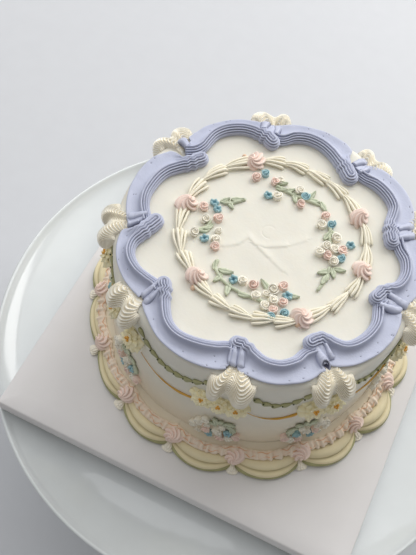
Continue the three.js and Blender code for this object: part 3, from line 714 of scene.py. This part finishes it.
def make_shells(k):
    """Pair of ruffled tongues over the edge, whose ridges run in a wave from side to side."""
    local = random.Random(20 + k)
    angle = CUSPS[k][0] + local.uniform(-0.4, 0.4) - (4.2 if k == 5 else 0.0)
    spacing = {4: 1.5, 5: 2.35}.get(k, 2.0)
    t = np.linspace(-1, 1, 81)
    w = np.linspace(0, 1, 151)[:, None]
    valley = local.uniform(-0.12, 0.12)
    q = np.where(t < valley, (t + 0.5 - valley / 2) / (-0.5 - valley / 2),
                 (t - 0.5 - valley / 2) / (0.5 - valley / 2))
    inner = (1 - np.cos(math.pi * np.clip(q, -1, 0))) / 2
    outer = (1 - np.sqrt(1 - 0.97 * np.clip(q, 0, 1) ** 2)) / 0.83
    left = smooth(0.35, -0.35, t)
    tip = mix({5: 28.0, 7: 27.5}.get(k, 31.5), {7: 26.0}.get(k, 29.0), left)
    tip = tip + mix(local.uniform(-1, 1), local.uniform(-1, 1), left)
    lag = 8.0 * inner + 11.0 * outer
    v = tip * w - lag * mix(0.45, 1.0, w) + 0.5 * np.sin(4 * t + 2 * k + 3 * w)
    path, run = curve([[62, 0, 85.2], [70, 0, 87.0], [75, 0, 88.3], [79.6, 0, 87.8], [83.3, 0, 84.9],
                       [85.3, 0, 80.5], [85.1, 0, 75.6], [83.2, 0, 71.4], [80.6, 0, 68.6]], 0.25)
    v = v + math.hypot(8, 1.8)
    r0 = np.interp(v, run, path[:, 0])
    z0 = np.interp(v, run, path[:, 2])
    slope_r = np.interp(v, run, np.gradient(path[:, 0], run))
    slope_z = np.interp(v, run, np.gradient(path[:, 2], run))
    arch = 1 - 0.5 * inner - 0.88 * np.clip(q, 0, 1) ** 3.6
    base_r, base_z = np.minimum(r0, WALL - 0.3), np.minimum(z0, TOP - 0.2)
    phase = w * 31 / spacing + 0.12 * np.sin(5 * t + k) + 0.1 * np.sin(9 * w + 3 * t)
    lines = 0.5 * np.cos(2 * math.pi * phase) + 0.08 * np.cos(4 * math.pi * phase)
    ridge = 1.15 * lines * (0.45 + 0.55 * arch)
    end = np.sqrt(np.clip(1 - ((w - 0.94) / 0.06) ** 2, 0, 1))
    full = arch * np.where(w < 0.94, 1, np.maximum(end, 0.05))
    r = base_r + (r0 - base_r) * full - slope_z * ridge * full
    z = base_z + (z0 - base_z) * full + slope_r * ridge * full
    r = np.where(z < TOP - 2, np.maximum(r, WALL + 0.15), r)
    z = np.where(r < (76.5 if k == 5 else 72.5), np.minimum(z, TOP + 0.9), z)
    half = 11.4 * mix(0.42, 1.0, smooth(9.0, 25.0, v)) * mix(1, 0.93, left)
    flare = FLARES[k] * 2.6 * smooth(0.7, 1.0, t * np.sign(FLARES[k])) * (1 - w) ** 0.6
    lean = local.uniform(-1.2, 1.2) * w
    side = angle + np.degrees((t * half + flare + lean) / 80.0)
    top = polar(side, r, z)
    bottom = polar(side, np.minimum(base_r, WALL - 0.5) - 0.6, base_z - 0.8)
    # Painted shade in the valleys between the ridges.
    tone = 0.75 * smooth(0.12, -0.42, lines) + 0 * t
    soup = Soup()
    soup.slab(top, bottom, 0, tone)
    soup.piece(f"cream_shells_{k + 1}", [CREAM], [f"shell_pair_{k + 1}"])


# Flowers and leaves

def frill(soup, radius, drop, lift, wave, seed):
    """Soft round frill facing +Z, its waved rim falling back by drop, closed underneath."""
    rho = np.linspace(0.06, 1, 11)[:, None]
    phi = np.linspace(0, 2 * math.pi, 64, endpoint=False)
    ripple = np.sin(9 * phi + seed) + 0.5 * np.sin(13 * phi + 2.3 * seed)
    r = radius * rho * (1 + (0.07 * np.sin(5 * phi + 1.7 * seed) + 0.045 * ripple) * rho)
    z = lift - drop * rho ** 1.8 + wave * ripple * rho ** 2
    # Deeper yellow close to the middle; painted shade in the troughs of the waved rim.
    tone = np.clip(0.3 - 1.5 * rho, 0, 1) + 0.3 * np.clip(-ripple, 0, 1) * rho
    x, y = r * np.cos(phi), r * np.sin(phi)
    top = np.stack([x, y, z + 0 * x], -1)
    under = np.stack([x * 0.94, y * 0.94, z - 0.6 + 0 * x], -1)[::-1]
    soup.skin(np.concatenate([top, under]), 0, np.concatenate([tone, tone[::-1]]))


def ball(soup, radius, height, material, tone=0.0, sides=12, at=(0, 0, 0)):
    levels = np.linspace(-0.6, math.pi / 2 - 0.05, 7)
    rings = [[radius * math.cos(a), height * math.sin(a)] for a in levels]
    soup.skin(lathe(rings, sides) + np.array(at), material, tone)


def blossom_template(seed):
    """Ruffled blossom, about 12 mm across, facing +Z: frills in slot 0, centre in slot 1."""
    soup = Soup()
    local = random.Random(seed)
    ball(soup, 5.4, 2.6, 0, 0.0, 16)
    frill(soup, local.uniform(5.9, 6.5), 2.1, 2.9, 0.62, local.uniform(0, 6))
    frill(soup, local.uniform(4.2, 4.7), 1.0, 3.7, 0.5, local.uniform(0, 6))
    frill(soup, local.uniform(2.5, 2.9), -0.3, 3.9, 0.32, local.uniform(0, 6))
    start = local.uniform(0, 6)
    for n in range(3):
        spot = polar(math.degrees(start) + 120 * n, 0.7)
        ball(soup, 0.62, 0.6, 1, 0.0, 8, (spot[0], spot[1], 4.1))
    return soup


def rose_template(seed, radius=2.7, height=3.4):
    """Small rose facing +Z: a strip of petal wound from the middle outward."""
    local = random.Random(seed)
    soup = Soup()
    # Core, seen between the turns, painted a little deeper as shade.
    ball(soup, radius * 0.86, height * 0.78, 0, 0.3)
    turns = 2.1
    t = np.linspace(0, 1, 58)
    angle = local.uniform(0, 6) + 2 * math.pi * turns * t
    r = mix(0.35, radius * 0.98, t ** 0.9)
    edge = height * mix(1.0, 0.74, t) * (1 + 0.13 * np.sin(7.5 * t * math.pi + seed))
    h = np.linspace(0, 1, 5)[:, None]
    flare = r * (0.86 + 0.2 * h ** 1.5)
    z = edge * h
    outer = np.stack([(flare + 0.3) * np.cos(angle), (flare + 0.3) * np.sin(angle), z], -1)
    inner = np.stack([(flare - 0.22) * np.cos(angle), (flare - 0.22) * np.sin(angle), z], -1)
    # Painted shade at the foot of the petal strip and towards the middle of the rose.
    tone = np.clip(0.4 - 0.6 * h, 0, 1) + 0.15 * (1 - t) ** 2
    soup.slab(outer.transpose(1, 0, 2), inner.transpose(1, 0, 2), 0, np.clip(tone, 0, 1).T)
    return soup


def star_template(seed, radius=2.7):
    """Small five-lobed flower facing +Z with a sunk eye, painted dark as shade."""
    turn = np.linspace(0, 2 * math.pi, 40, endpoint=False)
    rings, tones = [], []
    # Rings as (width, height, tone); the tone is painted shade at the foot and in the sunk eye.
    profile = [(0.7, 0.0, 0.6), (0.95, 0.6, 0.3), (1.0, 1.3, 0.1), (0.88, 2.0, 0.0),
               (0.66, 2.3, 0.0), (0.44, 1.9, 0.25), (0.3, 1.3, 0.8), (0.16, 0.95, 1.0)]
    for wide, z, tone in profile:
        lobes = 1 + 0.24 * np.abs(np.cos(2.5 * turn + seed)) ** 0.8 - 0.1 * bump(wide, 0.3, 0.2)
        r = radius * 0.94 * wide * lobes * (1 + 0.06 * np.sin(2 * turn + 3 * seed))
        high = z * (1 + 0.2 * np.cos(5 * turn + 2 * seed) + 0.1 * np.sin(turn + seed))
        rings.append(np.stack([r * np.cos(turn), r * np.sin(turn), high], -1))
        # Painted shade in the clefts between the lobes.
        cleft = 0.5 * (1 - np.abs(np.cos(2.5 * turn + seed))) ** 2
        tones.append(np.clip(tone + cleft, 0, 1))
    soup = Soup()
    soup.skin(np.array(rings), 0, np.array(tones))
    return soup


def leaf_template(length=8.0, width=3.4, seed=0):
    """Leaf from the origin along +X, facing +Z, with a sunk midrib and a lifted tip."""
    u = np.linspace(0, 1, 15)[:, None]
    v = np.linspace(-1, 1, 9)
    wide = width / 2 * np.sin(math.pi * u ** 0.8) ** 0.75 * (1 + 0.06 * np.sin(14 * u + seed)) + 0.12
    x = length * u + 0 * v
    y = wide * v + 0.6 * np.sin(2.2 * u + seed)
    z = 1.5 - 0.9 * v ** 2 * u ** 0.5 - 0.55 * bump(v, 0, 0.22) + 1.0 * u ** 2
    z = z + 0.14 * np.sin(16 * u) * (np.abs(v) > 0.4)
    top = np.stack([x, y, z + 0 * x], -1)
    bottom = np.stack([x, y * 0.96, np.maximum(z - 1.2, -0.2) + 0 * x], -1)
    # Painted shade along the sunk midrib and at the edges.
    tone = 0.8 * bump(v, 0, 0.2) + 0.25 * np.abs(v) ** 4 + 0 * u
    soup = Soup()
    soup.slab(top, bottom, 0, tone)
    return soup


def rosette_template(radius, height, ribs, seed=0, slot=0):
    """Ribbed swirl facing +Z, its ribs winding from the foot to an off-centre pointed tip."""
    h = np.linspace(0, 1, 24)[:, None]
    turn = np.linspace(0, 2 * math.pi, ribs * 12, endpoint=False)
    wind = 1.9 * h ** 1.1 + 0.12 * np.sin(2 * turn + seed)
    profile = np.clip((1 - h) ** 0.62, 0.03, 1) * (0.82 + 0.75 * h * (1 - h))
    phase = (turn + wind + seed) * ribs / (2 * math.pi)
    lines = ridged(phase, 0.9)
    uneven = 1 + 0.1 * np.sin(turn * 2 + 1.7 * seed) + 0.06 * np.sin(turn * 3 + seed)
    r = radius * profile * uneven * (1 + 0.52 * lines * mix(1, 0.75, h))
    lean = 0.2 * radius * h ** 2
    x = r * np.cos(turn) + lean * math.cos(seed)
    y = r * np.sin(turn) + lean * math.sin(seed)
    z = height * h ** 0.85 * (1 + 0.1 * lines) + 0.7 * np.clip(lines, 0, 1) * np.sin(math.pi * h)
    # Painted shade in the grooves between the ribs.
    tone = np.clip(-lines * 1.7, 0, 1) * 0.6 + 0 * h
    soup = Soup()
    soup.skin(np.stack([x, y, z], -1), slot, tone)
    return soup


ROSES = [rose_template(n, 2.5 + 0.15 * (n % 3), 3.2 + 0.2 * (n % 2)) for n in range(6)]
STARS = [star_template(n, 2.4 + 0.12 * (n % 3)) for n in range(5)]
LEAVES = [leaf_template(7.2 + 0.9 * n, 3.0 + 0.25 * n, n) for n in range(4)]
BLOSSOMS = [blossom_template(n) for n in range(6)]
FLOWER_MATERIALS = [SAGE, BLUE, PINK, CREAM]
SAGE_SLOT, BLUE_SLOT, PINK_SLOT, CREAM_SLOT = range(4)
# Material slot and scale of each kind of flower, and of the leaf l
FLOWER_KINDS = {"b": (BLUE_SLOT, 0.86), "p": (PINK_SLOT, 0.92), "w": (CREAM_SLOT, 0.95),
                "c": (CREAM_SLOT, 0.7), "l": (SAGE_SLOT, 0.78)}
LEAF_MIDDLE = 2.6


def put_flower(soup, kind, matrix, at, local):
    """Flower b, p, w or c (blue, pink, white, small white), or leaf l, at a place."""
    slot, scale = FLOWER_KINDS[kind]
    if kind == "l":
        shape = local.choice(LEAVES)
    elif kind == "b":
        shape = local.choice(STARS) if local.random() < 0.6 else local.choice(ROSES)
    else:
        shape = local.choice(ROSES)
    soup.stamp(shape, matrix * scale, at, slot)


def make_blossoms(k):
    places = {5: [(-13.2, 63.5), (4.6, 63.0)], 6: [(-12.2, 59.8), (-3.8, 58.8), (4.4, 59.0)]}
    angle = CUSPS[k][0] + (0.6 if k == 6 else 0.0)
    soup = Soup()
    for n, (offset, z) in enumerate(places.get(k, [(-5.6, 60.5), (4.6, 60.0)])):
        theta = angle + math.degrees(offset / WALL)
        out = polar(theta, 1.0)
        axis = out * 0.85 + np.array([0, 0, 0.4])
        matrix = basis(axis, 0.7 * k + 2 * n) * (1.02 if k == 6 else 1.26)
        soup.stamp(BLOSSOMS[(2 * k + n) % 6], matrix, polar(theta, WALL + 0.2, z))
    soup.piece(f"pale_blossoms_{k + 1}", [YELLOW, YOLK], [f"blossoms_{k + 1}"])


# Small bouquet on the wall: [mm to the right, height, kind, direction of a leaf in degrees]
BOUQUET = [
    (-9.5, 33.0, "w", 0), (-6.0, 38.0, "w", 0), (-10.5, 26.5, "w", 0), (-5.0, 31.5, "c", 0),
    (-8.0, 20.5, "c", 0), (-1.5, 37.0, "l", 110), (1.5, 38.0, "l", 60), (5.5, 37.5, "l", 30),
    (7.5, 33.5, "l", -30), (3.0, 33.5, "c", 0), (6.3, 27.5, "b", 0), (-3.0, 21.0, "b", 0),
    (-4.5, 26.5, "p", 0), (11.0, 24.5, "p", 0), (8.5, 22.0, "w", 0), (8.6, 30.0, "l", -70),
    (-2.5, 34.5, "l", 150), (2.5, 23.5, "c", 0), (1.0, 29.5, "w", 0), (4.0, 19.5, "p", 0),
]


def make_bouquet(k):
    angle = CUSPS[k][0]
    local = random.Random(40 + k)
    mirror = -1 if k in (1, 3, 7) else 1
    soup = Soup()
    for right, z, kind, direction in BOUQUET:
        right = right * mirror + local.uniform(-0.8, 0.8)
        z = z - 3.2 + local.uniform(-0.8, 0.8)
        theta = angle + math.degrees((right - 1.5) / WALL)
        out = polar(theta, 1.0)
        matrix = basis(out, local.uniform(0, 6))
        if kind == "l":
            lean = math.radians(direction if mirror > 0 else 180 - direction)
            right_way = polar(theta + 90, 1.0)
            along = right_way * math.cos(lean) + np.array([0, 0, math.sin(lean)])
            matrix = np.stack([along, np.cross(out, along), out], 1)
        at = polar(theta, WALL + 0.2, z) - (along * LEAF_MIDDLE if kind == "l" else 0)
        put_flower(soup, kind, matrix, at, local)
    soup.piece(f"wall_bouquet_{k + 1}", FLOWER_MATERIALS, [f"bouquet_{k + 1}"])


# Foot of the cake

def swag_angle(n):
    angle = SWAG_START + n * 360 / SWAG_COUNT
    return angle + 3.0 * bump(angle, 335, 40)


def swag_reach(angle):
    """Radius of the swags' edge, which comes closer to the wall on the cake's left."""
    return SWAG_REACH - 4.0 * bump(angle, 218, 26) + 1.8 * bump(angle, 338, 30)


# Materials of a piece at the foot, in the order of their slots
FOOT_MATERIALS = [CELADON, MOSS, PEACH, PINK, CREAM, IVORY]
SWAG_SLOT, HEM_SLOT, RIBBON_SLOT, ROSETTE_SLOT, SHELL_SLOT, FILLET_SLOT = range(6)


def make_base(n):
    soup = Soup()
    for s in range(2):
        number = n * 2 + s
        a, b = swag_angle(number), swag_angle(number + 1)
        drape(soup, a, b)
        hem(soup, a, b)
        ribbon(soup, a, b, number)
        joint(soup, a, number)
    soup.piece(f"foot_swags_{n + 1}", FOOT_MATERIALS, [f"base_swags_{n + 1}"])


def fullness(t):
    """How far a swag hangs out at each share t of its length."""
    return np.sin(math.pi * mix(0.03, 0.97, t)) ** 0.7


def drape(soup, a, b):
    """Swag with lengthwise ridges, from the foot of the wall out onto the board."""
    t = np.linspace(0, 1, 34)[:, None]
    v = np.linspace(0, 1, 32)
    angle = mix(a + 0.5, b - 0.5, t)
    full = fullness(t)
    reach = mix(86.0, swag_reach(angle) - 0.6, full)
    crown = mix(10.5, 7.2, full)
    lines = ridged(v * 2.7 + 0.15, 0.75) * smooth(0.05, 0.3, v)
    r = mix(80.0, reach, np.sin(v * math.pi / 2) ** 1.15)
    z = crown * (1 - v) ** 0.85 + 1.3 + 1.9 * np.sin(math.pi * v) * full
    swell = 2.1 * lines * full * (0.4 + v)
    r, z = r + 0.7 * swell, z + 0.8 * swell
    top = polar(angle + 0 * v, r, np.maximum(z, 0.6))
    bottom = polar(angle + 0 * v, mix(78.6, reach - 0.8, v), 0.35)
    # Painted shade in the valleys between the ridges; deeper towards both ends as well.
    tone = np.clip((0.1 - lines) * 1.6, 0, 1) * 0.85 + 0.25 * (1 - full)
    soup.slab(top, bottom, SWAG_SLOT, np.clip(tone, 0, 1))


def hem(soup, a, b):
    """Green line along the outer edge of a swag."""
    t = np.linspace(0, 1, 34)
    angle = mix(a + 0.3, b - 0.3, t)
    edge = polar(angle, mix(85.6, swag_reach(angle) - 1.4, fullness(t)), 2.1)
    radius = 1.95 * np.clip(np.minimum(t, 1 - t) * 9, 0.2, 1) ** 0.5
    tone = 0.08 * (1 + np.sin(30 * t))[:, None] + np.zeros(12)
    soup.skin(tube(edge, radius, 12, flat=0.9), HEM_SLOT, tone)


def ribbon(soup, a, b, seed):
    """Narrow ruffled peach ribbon at the wall's foot, with two thin orange lines along it."""
    u = np.linspace(0, 1, 90)[:, None]
    c = np.linspace(0, 1, 11)
    lift = (2 * u - 1) ** 2
    outer, high = mix(86.6, 84.8, lift), mix(9.4, 11.6, lift)
    angle = mix(a, b, u) + 0 * c
    r = mix(77.7, outer - 1.0, c)
    z = high + 3.6 * (1 - c) ** 2 - 0.5
    soup.slab(polar(angle, r, z), polar(angle, r - 0.2, high - 4.0 + 0 * c), FILLET_SLOT, 0.8)

    ruffle = 0.24 * np.sin(2 * math.pi * 8 * u + seed + 2.5 * np.sin(7 * u + seed))
    ruffle = ruffle + 0.14 * np.sin(2 * math.pi * 13 * u + 2 * seed)
    r = mix(outer - 4.6, outer, c) + 1.2 * np.sin(math.pi * c) * ruffle
    r = r + 1.5 * ruffle * (1 + np.sin(5 * u + seed)) * (c ** 2 - 0.6 * (1 - c) ** 2)
    z = high + mix(1.3, -0.2, c) + np.sin(math.pi * c) * (0.7 + ruffle)
    bottom = polar(angle, r - 0.4, z - 2.0)
    # Painted shade in the ruffle's troughs.
    soup.slab(polar(angle, r, z), bottom, RIBBON_SLOT, 0.12 * np.clip(-ruffle / 0.24, 0, 1) + 0 * c)
    u, lift, outer, high = u[:, 0], lift[:, 0], outer[:, 0], high[:, 0]
    for share in (0.3, 0.78):
        way = share + 0.09 * np.sin(2 * math.pi * 6 * u + 2 * seed + 5 * share)
        way = way + 0.05 * np.sin(41 * u)
        height = high + mix(1.3, -0.2, way) + 0.75 * np.sin(math.pi * way)
        path = polar(mix(a, b, u), outer - 4.6 * (1 - way), height + 0.1)
        thick = 0.18 * np.clip(0.7 + 0.7 * np.sin(17 * u + seed + 9 * share), 0.15, 1.2)
        soup.skin(tube(path, thick, 7), RIBBON_SLOT, 0.85)


def joint(soup, angle, seed):
    """Pink rosette on the wall's foot and a small cream shell on the board in front of it."""
    tilt = math.radians(35)
    axis = polar(angle, math.cos(tilt), math.sin(tilt))
    swirl = rosette_template(5.1, 5.2, 7, seed * 1.3, ROSETTE_SLOT)
    soup.stamp(swirl, basis(axis, seed), polar(angle, 84.6, 8.6))
    foot_shell(soup, angle, 92.8, 84.0, 4.6, 1.1, 0.5, 9)
    foot_shell(soup, angle + 0.5 * math.sin(seed), 91.6, 86.0, 2.9, 1.7, 2.2, 7)


def foot_shell(soup, angle, outer, inner, half_width, high, rise, ribs):
    """Frilled cream shell on the board, round at its outer end."""
    t = np.linspace(0, 1, 26)
    turn = np.linspace(0, 2 * math.pi, 56, endpoint=False)
    wide = rounded(t, 0.45, 1.2)[:, None]
    lines = ridged(turn * ribs / (2 * math.pi) + 0.5 * t[:, None], 0.7)
    half = half_width * wide * (1 + 0.34 * lines)
    r = mix(outer, inner, t)[:, None] + 0.5 * lines * wide + 0 * turn
    tall = high * wide * (1 + 0.5 * lines) * np.sin(turn)
    z = np.maximum(0.3, high * 0.8 + rise * t[:, None] + tall)
    # A slightly deeper cream all over, with painted shade in the valleys between the ribs.
    tone = 0.15 + np.clip(-lines * 1.6, 0, 1) * 0.85 + 0 * wide
    soup.skin(polar(angle + np.degrees(half * np.cos(turn) / r), r, z), SHELL_SLOT, tone)


# Wreath and sprays on top

def make_wreath(k):
    """Overlapping strokes of four fingers each, fanned at the head and drawn to a point."""
    a, ra = WREATH_ROSETTES[k]
    b, rb = WREATH_ROSETTES[(k + 1) % 6]
    b += 360 if k == 5 else 0
    soup = Soup()
    local = random.Random(60 + k)
    arc = math.radians(b - a) * 46.5
    count = max(2, round((arc - 4) / 12.5))
    for n in range(count):
        start = mix(a + 2.0, b - 5.0, n / count)
        length = (b - a) / count * 1.42
        middle = mix(ra, rb, (n + 0.4) / count) + 0.4
        spread = 1.95 + local.uniform(-0.2, 0.3)
        bend = local.uniform(-0.7, 0.7)
        for side, high, wide in [(-1.5, 0.0, 0.9), (1.5, 0.1, 0.9), (-0.5, 0.6, 1.1), (0.5, 0.7, 1.05)]:
            t = np.linspace(0, 1, 30)
            angle = start + length * t * local.uniform(0.86, 1.0) + 0.7 * abs(side)
            drift = bend * np.sin(math.pi * t) + 0.5 * t * local.uniform(-1, 1)
            drift = drift + 0.12 * np.sin(11 * t + local.uniform(0, 6))
            r = middle + side * spread * (1 - 0.9 * smooth(0.0, 0.95, t)) + drift
            z = TOP + 0.5 + high + 0.5 * wide + 0.8 * np.sin(math.pi * np.clip(t * 1.25, 0, 1))
            radius = wide * rounded(t, 0.14, 1.1)
            turn = np.linspace(0, 2 * math.pi, 16, endpoint=False)
            grid = tube(polar(angle, r, z), radius, 16, flat=1.05)
            # Painted shade on the fingers' undersides; each finger is also a little deeper over its
            # last stretch.
            tone = 0.35 * smooth(0.2, -0.7, np.sin(turn))[None] + 0.15 * (t > 0.85)[:, None]
            soup.skin(grid, 0, np.clip(tone, 0, 1))
    swirl = rosette_template(5.4, 5.4, 7, 1.7 * k + 0.4, 1)
    tilt = np.array([0.25 * math.sin(2.1 * k), 0.25 * math.cos(1.7 * k), 1.0])
    soup.stamp(swirl, basis(tilt, k), polar(a, ra, TOP + 0.2))
    for n in range(2):
        spot = polar(a + local.uniform(-6, 7), ra + local.uniform(-4.5, 4.5), TOP + 0.4)
        ball(soup, 1.3, 1.6, 2, 0.5, 9, spot)
    soup.piece(f"cream_wreath_{k + 1}", [STRAW, PINK, PEACH], [f"wreath_{k + 1}"])


# Sprays: [x, y, kind], and for a leaf its direction in degrees
SPRAYS = {
    1: [(20.7, 25.3, "p"), (24.7, 22.0, "b"), (20.7, 19.2, "w"), (24.7, 14.3, "l", 80),
        (29.3, 14.8, "w"), (37.3, 14.0, "b"), (34.7, 9.2, "p"), (30.0, 8.2, "w"), (26.0, 8.8, "w"),
        (24.2, 3.2, "w"), (28.0, 3.6, "p"), (35.2, 4.4, "b"), (31.6, 1.4, "w"), (33.3, -4.7, "l", -60),
        (35.8, -2.2, "l", 10), (30.5, -5.5, "l", 220), (27.0, 17.5, "l", 150), (31.5, -9.0, "l", -100)],
    2: [(-16.0, 37.3, "b"), (-10.0, 34.7, "p"), (-7.4, 37.0, "c"), (-7.6, 35.4, "l", 20),
        (-5.7, 31.8, "l", 10), (-1.0, 32.7, "l", 30), (3.6, 34.6, "w"), (7.3, 32.7, "b"),
        (10.7, 34.4, "l", 80), (12.7, 32.0, "l", -10), (17.3, 31.0, "l", -40), (-10.7, 25.4, "b"),
        (-6.0, 26.3, "w"), (6.6, 27.4, "p"), (2.2, 30.5, "l", -60), (-19.5, 33.5, "p")],
    3: [(-34.0, 9.3, "b"), (-29.5, 13.0, "l", 40), (-24.5, 16.0, "l", 30), (-26.7, 12.0, "l", -40),
        (-31.3, 6.3, "b"), (-37.6, 5.0, "p"), (-28.7, 1.2, "p"), (-34.2, -1.6, "w"),
        (-32.7, -7.3, "l", 220), (-30.7, -12.3, "b"), (-25.6, -11.0, "w"), (-24.0, -14.8, "p"),
        (-26.0, -5.3, "c"), (-36.5, -11.0, "w"), (-31.5, -4.6, "l", 240)],
    4: [(-20.5, -24.5, "l", 100), (-16.0, -25.3, "l", 10), (-17.2, -30.0, "l", 250),
        (-10.3, -33.2, "l", 280), (-2.7, -34.6, "l", 10), (3.5, -32.8, "w"), (20.0, -25.5, "l", 10),
        (-9.6, -28.2, "b"), (-5.2, -27.6, "w"), (0.0, -27.0, "p"), (9.3, -25.4, "w"),
        (14.0, -22.4, "p"), (17.3, -26.0, "b"), (10.7, -31.8, "w"), (16.0, -30.7, "p"),
        (13.3, -36.7, "p"), (18.7, -35.7, "b"), (13.2, -40.4, "b"), (7.6, -29.0, "c"),
        (8.2, -35.8, "w"), (6.4, -25.8, "l", 150)],
}
# Stems: points [x, y] that a thin green line runs through
STEMS = {
    1: [[(31.0, -2.0), (31.5, -9.0), (29.3, -17.8)], [(25.0, 20.0), (26.0, 15.0), (28.0, 10.0)]],
    2: [[(-9.0, 33.0), (-1.0, 31.5), (8.0, 31.0), (16.0, 31.0)]],
    3: [[(-31.5, -1.0), (-32.5, -5.0), (-36.0, -9.5)], [(-30.0, 11.0), (-25.5, 13.5), (-20.0, 18.5)]],
    4: [[(-20.5, -20.5), (-19.8, -26.0), (-14.0, -31.0), (-5.0, -33.5), (5.0, -33.8), (10.0, -33.0)]],
}


def make_spray(k):
    soup = Soup()
    local = random.Random(80 + k)
    turn = math.radians(SPRAY_TURN)
    spin = np.array([[math.cos(turn), -math.sin(turn), 0], [math.sin(turn), math.cos(turn), 0],
                     [0, 0, 1]])
    ground = TOP + 0.05
    for points in STEMS[k]:
        path, s = curve([[x, y, ground + 0.6] for x, y in points], 0.6)
        path[:, 2] += 0.25 * np.sin(s)
        radius = 0.8 * np.clip(np.minimum(s, s[-1] - s) + 0.3, 0.3, 1)
        soup.skin(tube(path @ spin.T, radius, 9), SAGE_SLOT, 0.15)
    for x, y, kind, *way in SPRAYS[k]:
        at = spin @ np.array([x, y, ground])
        axis = np.array([local.uniform(-0.25, 0.25), local.uniform(-0.25, 0.25), 1.0])
        matrix = basis(axis, local.uniform(0, 6))
        if kind == "l":
            lean = math.radians(way[0] + SPRAY_TURN)
            along = unit(np.array([math.cos(lean), math.sin(lean), 0.06]))
            side = unit(np.cross([0, 0, 1.0], along))
            matrix = np.stack([along, side, np.cross(along, side)], 1)
            at = at - along * LEAF_MIDDLE
        put_flower(soup, kind, matrix, at, local)
    soup.piece(f"flower_spray_{k}", FLOWER_MATERIALS, [f"spray_{k}"])


# Making the model

make_stand()
make_board()
make_cake()
for number in range(9):
    make_lobe(number)
    make_shells(number)
    make_blossoms(number)
    make_bouquet(number)
for number in range(8):
    make_base(number)
for number in range(6):
    make_wreath(number)
for number in range(1, 5):
    make_spray(number)


# Floor, light and camera

def make_floor():
    bpy.ops.mesh.primitive_plane_add(size=6, location=(0, 0, 0))
    floor = bpy.context.object
    floor.name = "floor"
    material = surface("pale_floor", (206, 208, 212), (206, 208, 212), 0.6, 0, 0.02, 0.01, 20)
    floor.data.materials.append(material)


def lamp(name, kind, energy, location, target, size, colour):
    data = bpy.data.lights.new(name, kind)
    data.energy = energy
    data.color = colour
    data.size = size
    made = bpy.data.objects.new(name, data)
    made.location = location
    made.rotation_euler = (Vector(target) - Vector(location)).to_track_quat("-Z", "Y").to_euler()
    bpy.context.scene.collection.objects.link(made)


def make_light():
    target = (0, 0, 0.15)
    lamp("window", "AREA", 12.6, (0.28, 0.98, 0.88), target, 1.0, (1.0, 0.99, 0.97))
    lamp("side", "AREA", 3.2, (-0.95, 0.8, 0.75), target, 0.8, (0.98, 0.99, 1.0))
    lamp("sky", "AREA", 12.2, (-0.55, 0.25, 1.7), target, 2.0, (0.97, 0.98, 1.0))
    world = bpy.data.worlds.new("room")
    bpy.context.scene.world = world
    world.use_nodes = True
    sky = world.node_tree.nodes["Background"]
    sky.inputs["Color"].default_value = (0.99, 0.965, 0.935, 1)
    sky.inputs["Strength"].default_value = 0.28


def make_camera():
    """Camera at the photograph's viewpoint, for a picture of 416 by 555 pixels."""
    width, height, focal = 416, 555, 858.437
    pitch, yaw, roll = (math.radians(a) for a in (-59.9, -15.87, 11.01))
    forward = Vector((math.sin(yaw) * math.cos(pitch), math.cos(yaw) * math.cos(pitch),
                      math.sin(pitch)))
    level = Vector((math.cos(yaw), -math.sin(yaw), 0))
    rise = level.cross(forward)
    right = level * math.cos(roll) + rise * math.sin(roll)
    up = rise * math.cos(roll) - level * math.sin(roll)
    data = bpy.data.cameras.new("view")
    data.sensor_width = 36
    data.lens = focal * data.sensor_width / max(width, height)
    data.clip_start, data.clip_end = 0.01, 20
    made = bpy.data.objects.new("view", data)
    rows = Matrix((right, up, -forward)).transposed().to_4x4()
    made.matrix_world = Matrix.Translation((0.03427, -0.2224, 0.5439)) @ rows
    bpy.context.scene.collection.objects.link(made)
    bpy.context.scene.camera = made


make_floor()
make_light()
make_camera()
bpy.context.scene.view_settings.view_transform = "Standard"
